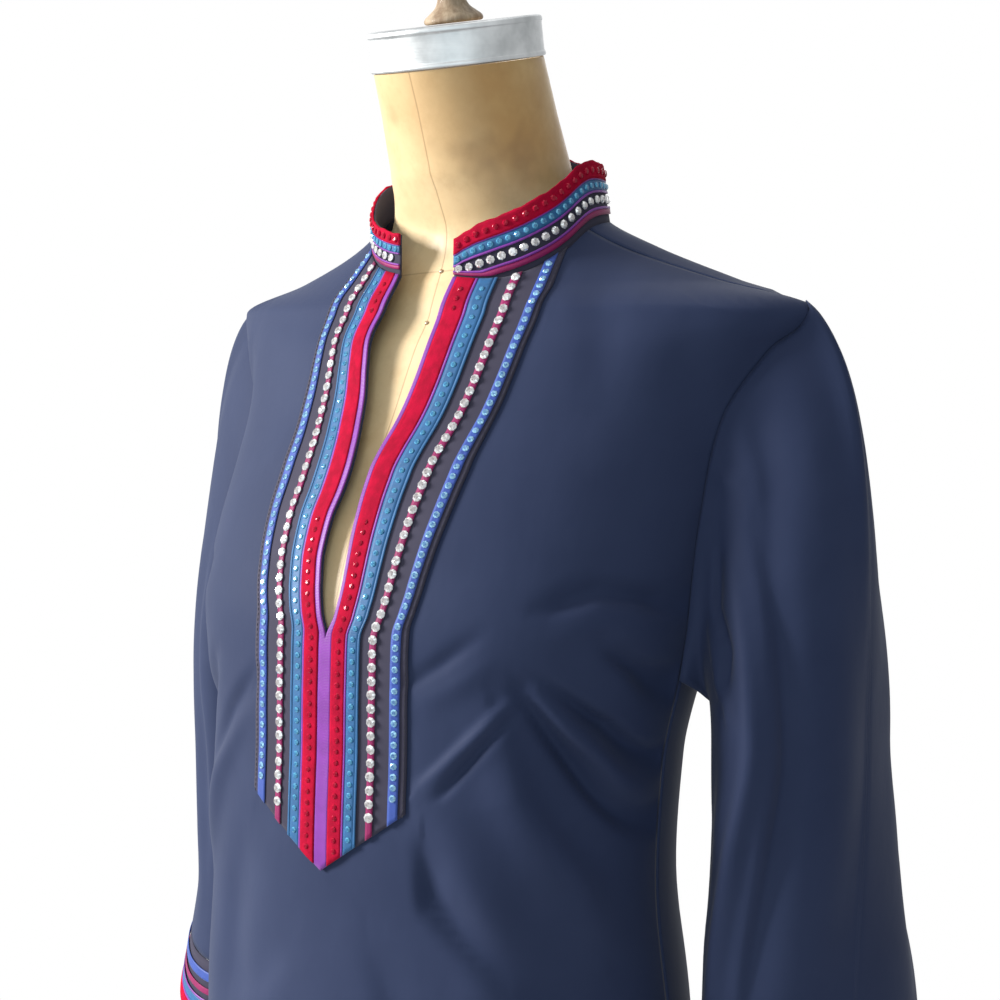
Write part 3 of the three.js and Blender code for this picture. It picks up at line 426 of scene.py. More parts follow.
def sheet_faces(rows, columns, ring=False):
    """Quads of a grid, row by row; a ring's last column meets its first."""
    row, column = np.meshgrid(np.arange(rows - 1), np.arange(columns if ring else columns - 1), indexing="ij")
    after = (column + 1) % columns
    here, above = row * columns, (row + 1) * columns
    return np.stack([here + column, here + after, above + after, above + column], -1).reshape(-1, 4)


def welded(points, faces, uv):
    """Points that fall together within a hundredth of a millimetre become one."""
    hundredths = np.round(points * 100).astype(np.int64)
    _, first, back = np.unique(hundredths, axis=0, return_index=True, return_inverse=True)
    return points[first], back.ravel()[faces], uv[first]


def thickened(piece, thickness, finish):
    """A sheet gets its wall with Solidify, half of it to each side, and rides on the whole."""
    solid = piece.modifiers.new("wall", "SOLIDIFY")
    solid.thickness = thickness * 0.001
    solid.offset = 0
    solid.use_quality_normals = True
    piece.data.materials.append(finish.material)
    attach(piece, "root")


# ---- navy cloth -----------------------------------------------------------------------------------
# Smooth cotton sateen: a fine weave with a soft sheen, slightly uneven in colour where it was pressed.
NAVY = (0.0205, 0.0320, 0.0820)
NAVY_LIGHT = (0.0315, 0.0460, 0.1070)


def cloth_finish(name, dark, light, roughness, threads, sheen):
    """Woven cloth: two thread directions as waves on the UV map, in colour and bump, and soft clouding."""
    finish = Finish(name, Sheen_Weight=sheen, Sheen_Roughness=0.45, Specular_IOR_Level=0.18)
    clouds = finish.noise(7.0, 4.0, 0.6, uv=True)
    fibre = finish.noise(900.0, 2.0, 0.6, stretch=(1, 0.12, 1), uv=True)
    weave = finish.waves(threads, "u") * finish.waves(threads * 0.9, "v")
    shade = clouds.step(0.3, 0.72) * 0.62 + fibre * 0.26 + weave * 0.14
    finish.feed("Base Color", mixed(finish.tree, shade, dark, light))
    finish.feed("Roughness", fibre * 0.12 + (roughness - 0.06))
    crumple = finish.noise(24.0, 3.0, 0.55, stretch=(1, 0.6, 1), uv=True)
    finish.bump(weave * 0.5 + fibre * 0.5 + crumple * 16, 0.35, 0.00012)
    return finish


navy = cloth_finish("navy sateen", NAVY, NAVY_LIGHT, 0.68, 1500, 0.08)

# ---- front panel ----------------------------------------------------------------------------------
# One piece of cloth with a slit from the neck to mid chest. Each half is a patch between its centre
# line or slit edge, the bib's outer line, and the side and armhole edge.
ROWS = np.array([
    # middle, bib edge, side
    (785, 785, 785), (850, 850, 848), (910, 912, 908), (960, 972, 962), (1004, 1028, 1010),
    (1040, 1079, 1054), (1072, 1097, 1080), (1101, 1118, 1104), (1128, 1140, 1127), (1153, 1161, 1150),
    (1174, 1182, 1172), (1199, 1203, 1194), (1223, 1227, 1216), (1247, 1252, 1239), (1271, 1277, 1262),
    (1295, 1302, 1286), (1319, 1327, 1310), (1342, 1352, 1332), (1362, 1375, 1349)])
SLIT = np.array([
    # z, left, right, stand off, and how much wider or narrower the bib lies on the left and the right
    (1174, 0, 0, 0, 0.991, 1.05), (1188, 5, 4.5, 1, 0.94, 1.018), (1204, 6.3, 8, 2.5, 0.955, 1.023),
    (1222, 5.5, 10, 4, 1.01, 1.045), (1238, 4.6, 10, 4, 1.07, 1.077), (1256, 3.8, 7.5, 4, 1.13, 1.13),
    (1268, 4.2, 7, 4, 1.155, 1.14), (1280, 6.5, 8.5, 4, 1.148, 1.115), (1294, 10.5, 12, 3.5, 1.13, 1.08),
    (1311, 14, 16, 3, 1.13, 1.02), (1328, 16.3, 21, 3, 1.14, 0.955), (1346, 17.6, 25, 3, 1.155, 0.91),
    (1364, 18, 23, 1.5, 1.17, 0.91), (1380, 20, 21.5, 0, 1.18, 0.94)])
STAND_OFF = 3
SLIT_COLUMNS = {"left": (1, 1, 4, 53), "right": (-1, 2, 5, 45)}  # sign, edge, spread, angle along the neck
BIB_WIDTH = 55.5
BIB_ROW = 5  # the row where the bib's foot lies
ARMHOLE = np.array([
    # z, how far it lies in front of the widest line and behind it
    (1150, 0.3, 0.3), (1172, 4, 14), (1200, 10, 26), (1250, 19, 36), (1300, 25, 36), (1335, 19, 24),
    (1361, 5.2, -4.8)])
SIDE_STEPS = np.array([0, 0.1, 0.21, 0.33, 0.46, 0.6, 0.74, 0.87, 1])
NECK_STEP = 2
ROWS_FINE = 9  # fine rows for each row of the table
BIB_COLUMNS, SIDE_COLUMNS = 31, 65
CREASES_END = 12  # the higher, the closer to the side edge the creases run

FRONT_CREASES = [
    # points (x, z), width, depth, sharp: the bust's drag lines and the soft drops below it
    ([(118, 1150), (108, 1143), (88, 1121), (62, 1094)], 5.4, 3.6, 0.5),
    ([(116, 1144), (98, 1122), (74, 1090)], 3.2, -4.4, -0.25),
    ([(113, 1153), (133, 1111), (148, 1080), (158, 1060)], 4.8, -9, 0.35),
    ([(126, 1158), (148, 1131), (162, 1096)], 4.6, -8.7, -0.45),
    ([(122, 1152), (141, 1119), (154, 1086)], 5.2, 7.5, 0.2),
    ([(103, 1134), (113, 1090), (135, 1045), (146, 1000)], 11.3, 8.1, -0.35),
    ([(66, 1062), (69, 1030), (94, 1004), (112, 985)], 9.4, -6.7, 0.4),
    ([(52, 1151), (72, 1163), (96, 1182)], 4.5, -2.2, 0.2),
    ([(60, 1142), (80, 1152), (104, 1170)], 6.6, 1.5, -0.2),
    ([(126, 1196), (146, 1205), (162, 1200), (171, 1188)], 5.4, -8.2, 0.35),
    ([(130, 1182), (150, 1190), (166, 1180)], 6.6, 2.2, 0.2),
    ([(150, 1176), (160, 1158), (166, 1132)], 5, -7.5, 0.3),
    ([(198, 1352), (186, 1310), (176, 1270)], 8, -3.1, 0.3),
    ([(165, 1350), (172, 1300), (168, 1256)], 12, -2.9, 0.1),
    ([(100, 1392), (122, 1350), (128, 1310)], 13, -1.9, 0.0),
    ([(66, 1105), (96, 1040), (112, 930)], 22, 5.5, 0.1),
    ([(-60, 1148), (-88, 1120), (-118, 1082)], 8.5, -5, 0.3),
    ([(-70, 1130), (-104, 1080), (-130, 1020)], 11, 5.3, -0.2),
    ([(-112, 1152), (-136, 1116), (-150, 1074)], 8.5, -5.8, 0.2),
    ([(-138, 1206), (-156, 1196), (-167, 1180)], 8, -5, 0.2),
    ([(-164, 1350), (-170, 1300), (-164, 1252)], 11, -2.6, 0.2),
    ([(-66, 1052), (-84, 1010), (-96, 920)], 17, -5, 0.2),
    ([(110, 925), (116, 850), (120, 778)], 17, 6, 0.1),
    ([(72, 900), (70, 840), (66, 778)], 14, -3.6, -0.2),
    ([(-98, 930), (-106, 850), (-114, 778)], 18, 5.4, -0.1),
    ([(-58, 915), (-54, 840), (-50, 778)], 15, -3.2, 0.2),
    ([(10, 920), (14, 850), (20, 778)], 22, 4.4, 0.2),
    ([(34, 1000), (52, 960), (84, 940)], 14, -3, 0.3),
    ([(-30, 990), (-58, 962), (-92, 948)], 15, -2.6, -0.3)]


def coons(left, right, bottom, top, u, v):
    """A patch between four edges: rows run from left to right, and the edges' own bends fade inwards."""
    u, v = u[None, :, None], v[:, None, None]
    place = left[:, None] * (1 - u) + right[:, None] * u
    corner_top = top[0] + (top[-1] - top[0]) * u
    corner_bottom = bottom[0] + (bottom[-1] - bottom[0]) * u
    return place + (top[None] - corner_top) * v ** 3 + (bottom[None] - corner_bottom) * (1 - v)


row_places = np.linspace(0, len(ROWS), len(ROWS) * ROWS_FINE + 1)
last_places = row_places > len(ROWS) - 1


def edge_line(heights, place_at, end):
    """An edge up the rows: places at each row's height, then a straight last step to its end."""
    z = smoothly(heights, np.minimum(row_places, len(ROWS) - 1))
    line = place_at(z)
    share = (row_places - (len(ROWS) - 1))[last_places][:, None]
    line[last_places] = line[~last_places][-1] * (1 - share) + end * share
    return line, z


def rest_on_form(grid, top):
    """All rows lie on the form; the last row is the seam itself."""
    grid = settle(grid)
    grid[-1] = top
    return grid


def slit_half(z, column):
    """Half of the slit's width on one side, none below its foot."""
    return np.where(z <= SLIT[0, 0], 0, along(SLIT, column, z))


def armhole_front(z):
    """How far the front's side edge lies in front of the widest line."""
    return np.where(z < UNDERARM, EDGE_GAP, along(ARMHOLE, 1, z))


front_halves = {}
armhole_edges = {}
rows_up = row_places / len(ROWS)
for side, (sign, slit_column, spread_column, neck_span) in SLIT_COLUMNS.items():
    neck_start = neck_angle(sign, SLIT[-1, slit_column])
    middle, low_z = edge_line(ROWS[:, 0], lambda z: front_at(sign * slit_half(z, slit_column), z),
                              neck_at(sign * neck_start))
    bib_x = sign * (slit_half(low_z, slit_column) + BIB_WIDTH * along(SLIT, spread_column, low_z))
    bib_edge, _ = edge_line(ROWS[:, 1], lambda z: front_at(bib_x, z),
                            neck_at(sign * (neck_start + neck_span)))
    side_edge, _ = edge_line(ROWS[:, 2], lambda z: side_at(sign, armhole_front(z), z),
                             shoulder_at(sign, 1, -EDGE_GAP))
    bib_u = np.linspace(0, 1, BIB_COLUMNS)
    bib_top = neck_at(sign * (neck_start + neck_span * bib_u))
    bib_bottom = middle[0] + (bib_edge[0] - middle[0]) * bib_u[:, None]
    bib_grid = rest_on_form(coons(middle, bib_edge, bib_bottom, bib_top, bib_u, rows_up), bib_top)
    last_step = len(SIDE_STEPS) - 1
    step = np.linspace(0, last_step, SIDE_COLUMNS)
    side_u = np.interp(step, np.arange(len(SIDE_STEPS)), SIDE_STEPS)
    start = neck_start + neck_span
    to_seam = SEAM_ANGLE - SEAM_GAP_ANGLE - start
    neck_part = neck_at(sign * (start + to_seam * np.clip(step / NECK_STEP, 0, 1)))
    seam_share = np.clip((step - NECK_STEP) / (last_step - NECK_STEP), 0, 1)
    seam_part = shoulder_at(sign, seam_share, -EDGE_GAP)
    side_top = np.where(step[:, None] <= NECK_STEP, neck_part, seam_part)
    side_bottom = bib_edge[0] + (side_edge[0] - bib_edge[0]) * side_u[:, None]
    side_grid = rest_on_form(coons(bib_edge, side_edge, side_bottom, side_top, side_u, rows_up), side_top)
    armhole_edges[side] = side_grid[:, -1].copy()
    bib_normal, side_normal = outward(bib_grid), outward(side_grid)
    bib_grid += creased(bib_grid, bib_normal, FRONT_CREASES, np.ones(BIB_COLUMNS))
    side_grid += creased(side_grid, side_normal, FRONT_CREASES, 1 - side_u ** CREASES_END)
    if side == "right":
        lift = along(SLIT, STAND_OFF, bib_grid[..., 2]) * (1 - bib_u[None]) ** 2
        bib_grid += bib_normal * (lift * (bib_grid[..., 2] > SLIT[0, 0]))[..., None]
    front_halves[side] = {"bib": bib_grid, "bib_normal": bib_normal,
                          "side": side_grid, "side_normal": side_normal}


def panel_uv(grid):
    """The cloth's threads run level and upright: x and z of each place, in metres, widened round the side."""
    across = np.concatenate([np.zeros((len(grid), 1)), np.linalg.norm(np.diff(grid, axis=1), axis=-1)], 1)
    return np.stack([np.cumsum(across, 1) * 0.001, grid[..., 2] * 0.001], -1)


def outer_face(half):
    """Bib part and side part of one half as one grid, at the middle of the cloth's wall."""
    grid = np.concatenate([half["bib"], half["side"][:, 1:]], 1)
    normal = np.concatenate([half["bib_normal"], half["side_normal"][:, 1:]], 1)
    return grid + normal * (CLOTH / 2)


def laid_sheet(name, grids, thickness, finish, replaced=()):
    """Grids of places, each with its UV map and whether it is flipped, welded into one sheet with a wall."""
    points, faces, uvs, count = [], [], [], 0
    for grid, uv, flip in grids:
        quads = sheet_faces(*grid.shape[:2])
        faces.append((quads[:, ::-1] if flip else quads) + count)
        points.append(grid.reshape(-1, 3))
        uvs.append(uv.reshape(-1, 2))
        count += grid.shape[0] * grid.shape[1]
    piece = mesh_piece(name, *welded(np.concatenate(points), np.concatenate(faces), np.concatenate(uvs)))
    thickened(piece, thickness, finish)
    if replaced:
        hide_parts(*replaced)
    return piece


PANEL_WALL = CLOTH * 0.75
front_grids = []
for side, sign in SIDES.items():
    grid = outer_face(front_halves[side])
    front_grids.append((grid, panel_uv(grid) * (sign, 1), sign < 0))
front = laid_sheet("front_cloth", front_grids, PANEL_WALL, navy, ["front"])

# ---- bib ------------------------------------------------------------------------------------------
# A charcoal strip of plain weave down each side of the slit, pointed at its foot, laid on the front
# and stitched along its outer edge. Everything on it is placed by millimetres out from the slit.
CHARCOAL = (0.0380, 0.0350, 0.0600)
CHARCOAL_LIGHT = (0.0720, 0.0670, 0.1060)
BIB_LIFT = 2.0
TRIM_LIFT = 2.95
bib_rows = slice(BIB_ROW * ROWS_FINE, None)
# The purple edge shows narrower where it folds over the slit, and draws its neighbours in with it.
EDGE_SLIM = {"left": 2.2, "right": 1.1}
SLIM_RISE = 14
SLIM_ACROSS, SLIM_SHARE = (0, 4.6, 8, 15, 23), (0, 1, 1, 0.5, 0)

charcoal = cloth_finish("charcoal weave", CHARCOAL, CHARCOAL_LIGHT, 0.78, 1300, 0.08)


def walked(line):
    """How far each point of a line lies from its first, along the line."""
    return np.concatenate([[0], np.cumsum(np.linalg.norm(np.diff(line, axis=0), axis=-1))])


def bib_strip(side, inner, outer, lift, columns):
    """Part of the bib's patch between two distances from the slit, lifted off the form; with its UV map
    in metres across and up. The lift is one number, or one for each column."""
    half = front_halves[side]
    grids = [half[name][bib_rows] for name in ("bib", "bib_normal")]
    z = grids[0][:, :1, 2]
    slim = np.clip((z - SLIT[0, 0]) / SLIM_RISE, 0, 1) * EDGE_SLIM[side]
    flat = np.linspace(inner, outer, columns)[None]
    across = flat - slim * np.interp(flat, SLIM_ACROSS, SLIM_SHARE)
    places = across / BIB_WIDTH * (BIB_COLUMNS - 1)
    low = np.clip(places.astype(int), 0, BIB_COLUMNS - 2)
    share = (places - low)[..., None]
    row = np.arange(len(z))[:, None]
    place, normal = [grid[row, low] * (1 - share) + grid[row, low + 1] * share for grid in grids]
    grid = place + normal * np.reshape(lift, (1, -1, 1))
    uv = np.stack(np.broadcast_arrays(flat * 0.001, walked(grid[:, 0])[:, None] * 0.001), -1)
    return grid, normal, uv


def both_strips(inner, outer, lift, columns):
    """The same part of the bib on both sides of the slit."""
    grids = []
    for side in front_halves:
        grid, _, uv = bib_strip(side, inner, outer, lift, columns)
        grids.append((grid, uv, side == "right"))
    return grids


bib = laid_sheet("bib_cloth", both_strips(0, BIB_WIDTH, BIB_LIFT, 24), 0.8, charcoal, ["bib"])

# Topstitching along the bib's outer edge, 2.2 mm stitches with small gaps, charcoal thread.
THREAD_DARK, THREAD_LIGHT = (0.012, 0.012, 0.018), (0.045, 0.045, 0.062)
STITCH_LENGTH, STITCH_PITCH, STITCH_RADIUS, STITCH_ARCH = 2.2, 3.0, 0.22, 0.12
STITCH_SIDES, STITCH_RINGS = 6, 5
STITCH_INSET, STITCH_LIFT = 1.4, 0.45
thread = Finish("charcoal thread", Roughness=0.7)
thread_twist = thread.noise(2500.0, 1.0)
thread.feed("Base Color", mixed(thread.tree, thread_twist, THREAD_DARK, THREAD_LIGHT))


def line_on_bib(side, across, lift):
    """A line up the bib at one distance from the slit, with its outward directions."""
    grid, normal, _ = bib_strip(side, across, across + 0.001, lift, 2)
    return grid[:, 0], normal[:, 0]


def read_at(at, lengths, line):
    """A line of points or directions, read between its places."""
    return np.stack([np.interp(at, lengths, line[:, k]) for k in range(3)], -1)


def spaced(line, normal, pitch, start=0.0, end=0.0):
    """Even places along a line of points: places, outward directions and forward directions."""
    lengths = walked(line)
    at = np.arange(start, lengths[-1] - end, pitch)
    out = read_at(at, lengths, normal)
    forward = read_at(at + PROBE, lengths, line) - read_at(at - PROBE, lengths, line)
    forward -= out * np.sum(forward * out, -1, keepdims=True)
    return read_at(at, lengths, line), one_long(out), one_long(forward)


def repeated(name, shape, faces, places, outs, forwards, sizes, finish, slot, smooth=False, facet_glints=None):
    """Copies of one small shape as one mesh: its x runs across, y forward and z outward at each place."""
    across = np.cross(forwards, outs)
    frames = np.stack([across, forwards, outs], 1)
    points = places[:, None] + np.einsum("vk,nkj->nvj", shape, frames) * sizes[:, None, None]
    faces = np.array(faces)
    all_faces = faces + (np.arange(len(places)) * len(shape))[:, None, None]
    all_faces = all_faces.reshape(-1, faces.shape[1])
    piece = mesh_piece(name, points.reshape(-1, 3), all_faces, smooth=smooth)
    if facet_glints is not None:
        # Each face's painted light, for stones.
        layer = piece.data.attributes.new("facet_glint", "FLOAT", "FACE")
        layer.data.foreach_set("value", facet_glints.astype(np.float32))
    piece.data.materials.append(finish.material)
    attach(piece, "root")
    return piece


def stitch_shape():
    """A stitch: a round bar that thins towards both ends and arches between them."""
    turns = np.arange(STITCH_SIDES) * 2 * math.pi / STITCH_SIDES
    t = np.linspace(-1, 1, STITCH_RINGS)[:, None]
    radius = STITCH_RADIUS * np.sqrt(np.maximum(0.04, 1 - t ** 4))
    up = radius * np.sin(turns) + STITCH_ARCH * (0.5 - t * t)
    shape = joined(radius * np.cos(turns), t * STITCH_LENGTH / 2, up)
    return shape.reshape(-1, 3), sheet_faces(STITCH_RINGS, STITCH_SIDES, ring=True)[:, [0, 3, 2, 1]]


stitch, stitch_quads = stitch_shape()
runs = [spaced(*line_on_bib(side, BIB_WIDTH - STITCH_INSET, BIB_LIFT + STITCH_LIFT), STITCH_PITCH)
        for side in front_halves]
stitched = [np.concatenate(part) for part in zip(*runs)]
on_bib = [repeated("bib_stitches", stitch, stitch_quads, *stitched, np.ones(len(stitched[0])), thread,
                   "trim_ground", smooth=True)]

# ---- ribbons on the bib ---------------------------------------------------------------------------
# Narrow ribbons laid side by side on the bib: purple satin along the slit, red velvet, teal, magenta
# and periwinkle blue woven ribbon, with thin piping beside the teal. Their tails are cut on the slant.
PURPLE = (0.300, 0.052, 0.460)
RED = (0.510, 0.001, 0.034)
TEAL = (0.030, 0.165, 0.400)
MAGENTA = (0.360, 0.008, 0.130)
PERIWINKLE = (0.050, 0.110, 0.480)
# Painted shade and painted sheen: a darker and a lighter copy of the red stand in for the velvet's light.
RED_SHADE, RED_PAINTED_SHEEN = (0.245, 0.0005, 0.017), (0.710, 0.003, 0.052)
RIBS_PER_METRE = 1 / 0.0009


def ribbon_finish(name, colour, dark_share, roughness):
    """Woven ribbon: fine cross ribs in bump, colour a little uneven along its length."""
    finish = Finish(name, Sheen_Weight=0.1, Sheen_Roughness=0.4, Specular_IOR_Level=0.35)
    ribs = finish.waves(RIBS_PER_METRE, "v")
    uneven = finish.noise(60.0, 3.0, 0.6, uv=True)
    fibre = finish.noise(1400.0, 2.0, 0.6, uv=True)
    shade = uneven.step(0.25, 0.75) * 0.5 + fibre * 0.3 + ribs * 0.2
    dark = tuple(part * dark_share for part in colour)
    finish.feed("Base Color", mixed(finish.tree, shade, dark, colour))
    finish.feed("Roughness", fibre * 0.15 + (roughness - 0.07))
    finish.bump(ribs * 0.6 + fibre * 0.4, 0.45, 0.00015)
    return finish


def velvet_finish(name, colour, dark, painted_light):
    """Velvet: short pile and a strong sheen. Its light is also painted into the colour: painted shade where
    the pile stands up, painted sheen where it is brushed.
    """
    finish = Finish(name, Roughness=0.85, Sheen_Weight=0.15, Sheen_Roughness=0.3, Sheen_Tint=(*painted_light, 1),
                    Specular_IOR_Level=0.15)
    # Painted light: the brushed patches mix in the painted shade, and the fine pile mixes in glints of
    # painted sheen.
    brushed = finish.noise(140.0, 4.0, 0.65, uv=True, stretch=(1, 0.5, 1))
    pile = finish.noise(2600.0, 2.0, 0.7, uv=True)
    body = mixed(finish.tree, brushed.step(0.3, 0.7), dark, colour)
    finish.feed("Base Color", mixed(finish.tree, (pile * 0.5).limited(), body, painted_light))
    finish.bump(pile * 0.6 + brushed * 0.4, 0.7, 0.0004)
    return finish


PILE_DOME = 0.35


def pile_dome(count):
    """How far velvet swells across its width: half a wave, a little in from both edges."""
    return PILE_DOME * np.sin(np.pi * np.linspace(0.06, 0.94, count))


purple = ribbon_finish("purple satin", PURPLE, 0.55, 0.42)
red_velvet = velvet_finish("red velvet", RED, RED_SHADE, RED_PAINTED_SHEEN)
teal = ribbon_finish("teal ribbon", TEAL, 0.5, 0.5)
magenta = ribbon_finish("magenta ribbon", MAGENTA, 0.5, 0.5)
blue = ribbon_finish("periwinkle ribbon", PERIWINKLE, 0.55, 0.5)

PURPLE_WIDTH = 4.6
purple_strips = both_strips(0, PURPLE_WIDTH, TRIM_LIFT - 0.1, 5)
on_bib.append(laid_sheet("bib_purple_ribbon", purple_strips, 0.7, purple, ["bib_purple"]))
BIB_TRIM = [
    # name, finish, slot, inner and outer edge from the slit, lift, columns, wall
    ("red", red_velvet, "red_ribbon", 4.9, 14.5, TRIM_LIFT + pile_dome(9), 9, 1.1),
    ("teal", teal, "teal_ribbon", 15.7, 23.0, TRIM_LIFT, 5, 0.6),
    ("magenta", magenta, "magenta_ribbon", 30.8, 35.0, TRIM_LIFT, 4, 0.6),
    ("blue", blue, "blue_ribbon", 44.6, 51.0, TRIM_LIFT, 5, 0.6)]
for side in front_halves:
    for name, finish, slot, inner, outer, lift, columns, wall in BIB_TRIM:
        grid, _, uv = bib_strip(side, inner, outer, lift, columns)
        strip = [(grid, uv, side == "right")]
        piece = f"bib_{name}_{side}"
        on_bib.append(laid_sheet(f"{piece}_ribbon", strip, wall, finish, [piece]))
BIB_PIPING = [
    # name, finish, slot, inner and outer edge from the slit
    ("inner", purple, "purple_ribbon", 14.45, 15.75),
    ("outer", teal, "teal_ribbon", 22.9, 24.3)]
PIPING_LIFT = TRIM_LIFT + 0.25
for name, finish, slot, inner, outer in BIB_PIPING:
    piping = both_strips(inner, outer, PIPING_LIFT, 3)
    on_bib.append(laid_sheet(f"bib_piping_{name}", piping, 0.6, finish))

# ---- stones ---------------------------------------------------------------------------------------
# Flat-backed glass stones with an eight-sided cut, glued on one by one: clear ones on magenta ribbon,
# aqua on blue, teal on teal, and red ones on the velvet near its ends. Each facet's glints and shade are
# painted into its colour.
CUT = 8
GIRDLE_HEIGHT, TABLE_HEIGHT, TABLE_RADIUS, TABLE_CENTRE = 0.22, 0.58, 0.56, 0.6
FACES_A_SIDE, TABLE_FACE = 6, 4


def stone_shape():
    """A flat-backed stone of radius 1: a short girdle, slanted crown facets and a flat table."""
    turn = np.radians(np.arange(CUT) * 360 / CUT)
    half = turn + math.pi / CUT
    foot = np.stack([np.cos(turn), np.sin(turn), np.zeros(CUT)], -1)
    girdle = foot + (0, 0, GIRDLE_HEIGHT)
    table = joined(TABLE_RADIUS * np.cos(half), TABLE_RADIUS * np.sin(half), TABLE_HEIGHT)
    shape = np.concatenate([foot, girdle, table, [(0, 0, TABLE_CENTRE)], [(0, 0, 0)]])
    faces = []
    for i in range(CUT):
        after = (i + 1) % CUT
        faces += [(i, after, CUT + after), (i, CUT + after, CUT + i), (CUT + i, CUT + after, 2 * CUT + i),
                  (CUT + after, 2 * CUT + after, 2 * CUT + i), (2 * CUT + i, 2 * CUT + after, 3 * CUT),
                  (after, i, 3 * CUT + 1)]
    return shape, faces


def stone_finish(name, painted_light, dark, coat=1.0):
    """Cut glass over foil: a polished coat, and painted reflections in the colour that step lighter and
    darker from facet to facet.
    """
    finish = Finish(name, Roughness=0.08, Coat_Weight=coat, Coat_Roughness=0.03,
                    Specular_IOR_Level=0.8 * coat, Metallic=0.35 * coat)
    # Painted light: each facet's share between the dark and the lit colour stands in for its glints and
    # shade.
    facet_glint = finish.node("ShaderNodeAttribute", {"attribute_name": "facet_glint"}, output=2)
    finish.feed("Base Color", mixed(finish.tree, facet_glint, dark, painted_light))
    return finish


stone, stone_faces = stone_shape()
# Each stone's first colour is its painted glint and the second its painted shade.
clear_stone = stone_finish("clear stone", (1.0, 1.0, 1.0), (0.30, 0.27, 0.28))
aqua_stone = stone_finish("aqua stone", (0.36, 0.72, 0.95), (0.015, 0.12, 0.38))
teal_stone = stone_finish("teal stone", (0.13, 0.50, 0.74), (0.020, 0.135, 0.34), 0.45)
red_stone = stone_finish("red stone", (0.52, 0.003, 0.036), (0.33, 0.001, 0.022), 0.15)
SIZE_RANGE = (0.94, 1.05)
GLINT_SPREAD = (0.9, 0.8)
TABLE_PAINTED_SHADE, CROWN_PAINTED_GLINT = 0.45, 0.5
chance = np.random.default_rng(7)


def stones(name, runs, radius, finish, slot):
    """Stones along runs of places, each turned, tipped and sized a little differently. Each facet's colour
    holds painted light: the table's facets look down into the stone and get darker painted shade, the crown's
    get lighter painted glints."""
    place, out, forward = [np.concatenate(part) for part in zip(*runs)]
    across = np.cross(forward, out)
    turn = chance.uniform(0, 2 * math.pi, len(place))[:, None]
    tilt = chance.normal(0, 0.05, (len(place), 2))
    out = one_long(out + across * tilt[:, :1] + forward * tilt[:, 1:])
    forward = forward * np.cos(turn) + across * np.sin(turn)
    forward = one_long(forward - out * np.sum(forward * out, 1, keepdims=True))
    sizes = radius * chance.uniform(*SIZE_RANGE, len(place))
    # Painted light: a random brightness for each facet, held low on the table as painted shade.
    facet_glints = chance.beta(*GLINT_SPREAD, (len(place), len(stone_faces)))
    on_table = np.arange(len(stone_faces)) % FACES_A_SIDE == TABLE_FACE
    facet_glints = np.where(on_table, facet_glints * TABLE_PAINTED_SHADE, CROWN_PAINTED_GLINT + facet_glints * (1 - CROWN_PAINTED_GLINT)).ravel()
    return repeated(name, stone, stone_faces, place, out, forward, sizes, finish, slot, facet_glints=facet_glints)


BELOW_NECK = 3  # where the last stone stands clear of the neck seam


def bib_runs(across, pitch, lift, start):
    """Places for stones down both sides of the slit, from the bib's foot up to the neck."""
    return [spaced(*line_on_bib(side, across, lift), pitch, start, BELOW_NECK) for side in front_halves]


STONE_LIFT, VELVET_STONE_LIFT = TRIM_LIFT + 0.3, TRIM_LIFT + 0.85
BIB_STONES = [
    # name, finish, slot, distance from the slit, pitch, first above the foot, radius
    ("clear", clear_stone, "magenta_ribbon", 32.9, 7.8, 12, 2.9),
    ("aqua", aqua_stone, "blue_ribbon", 47.8, 6.1, 14, 2.1),
    ("teal", teal_stone, "teal_ribbon", 19.4, 6.4, 7, 1.7)]
for name, finish, slot, across, pitch, start, radius in BIB_STONES:
    runs = bib_runs(across, pitch, STONE_LIFT, start)
    on_bib.append(stones(f"bib_stones_{name}", runs, radius, finish, slot))
BARE_FROM, BARE_TO = 1246, 1362  # the velvet has no stones between these heights
red_runs = []
for run in bib_runs(9.8, 6.4, VELVET_STONE_LIFT, 6):
    z = run[0][:, 2]
    red_runs.append([part[(z > BARE_TO) | (z < BARE_FROM)] for part in run])
on_bib.append(stones("bib_stones_red", red_runs, 1.7, red_stone, "red_ribbon"))

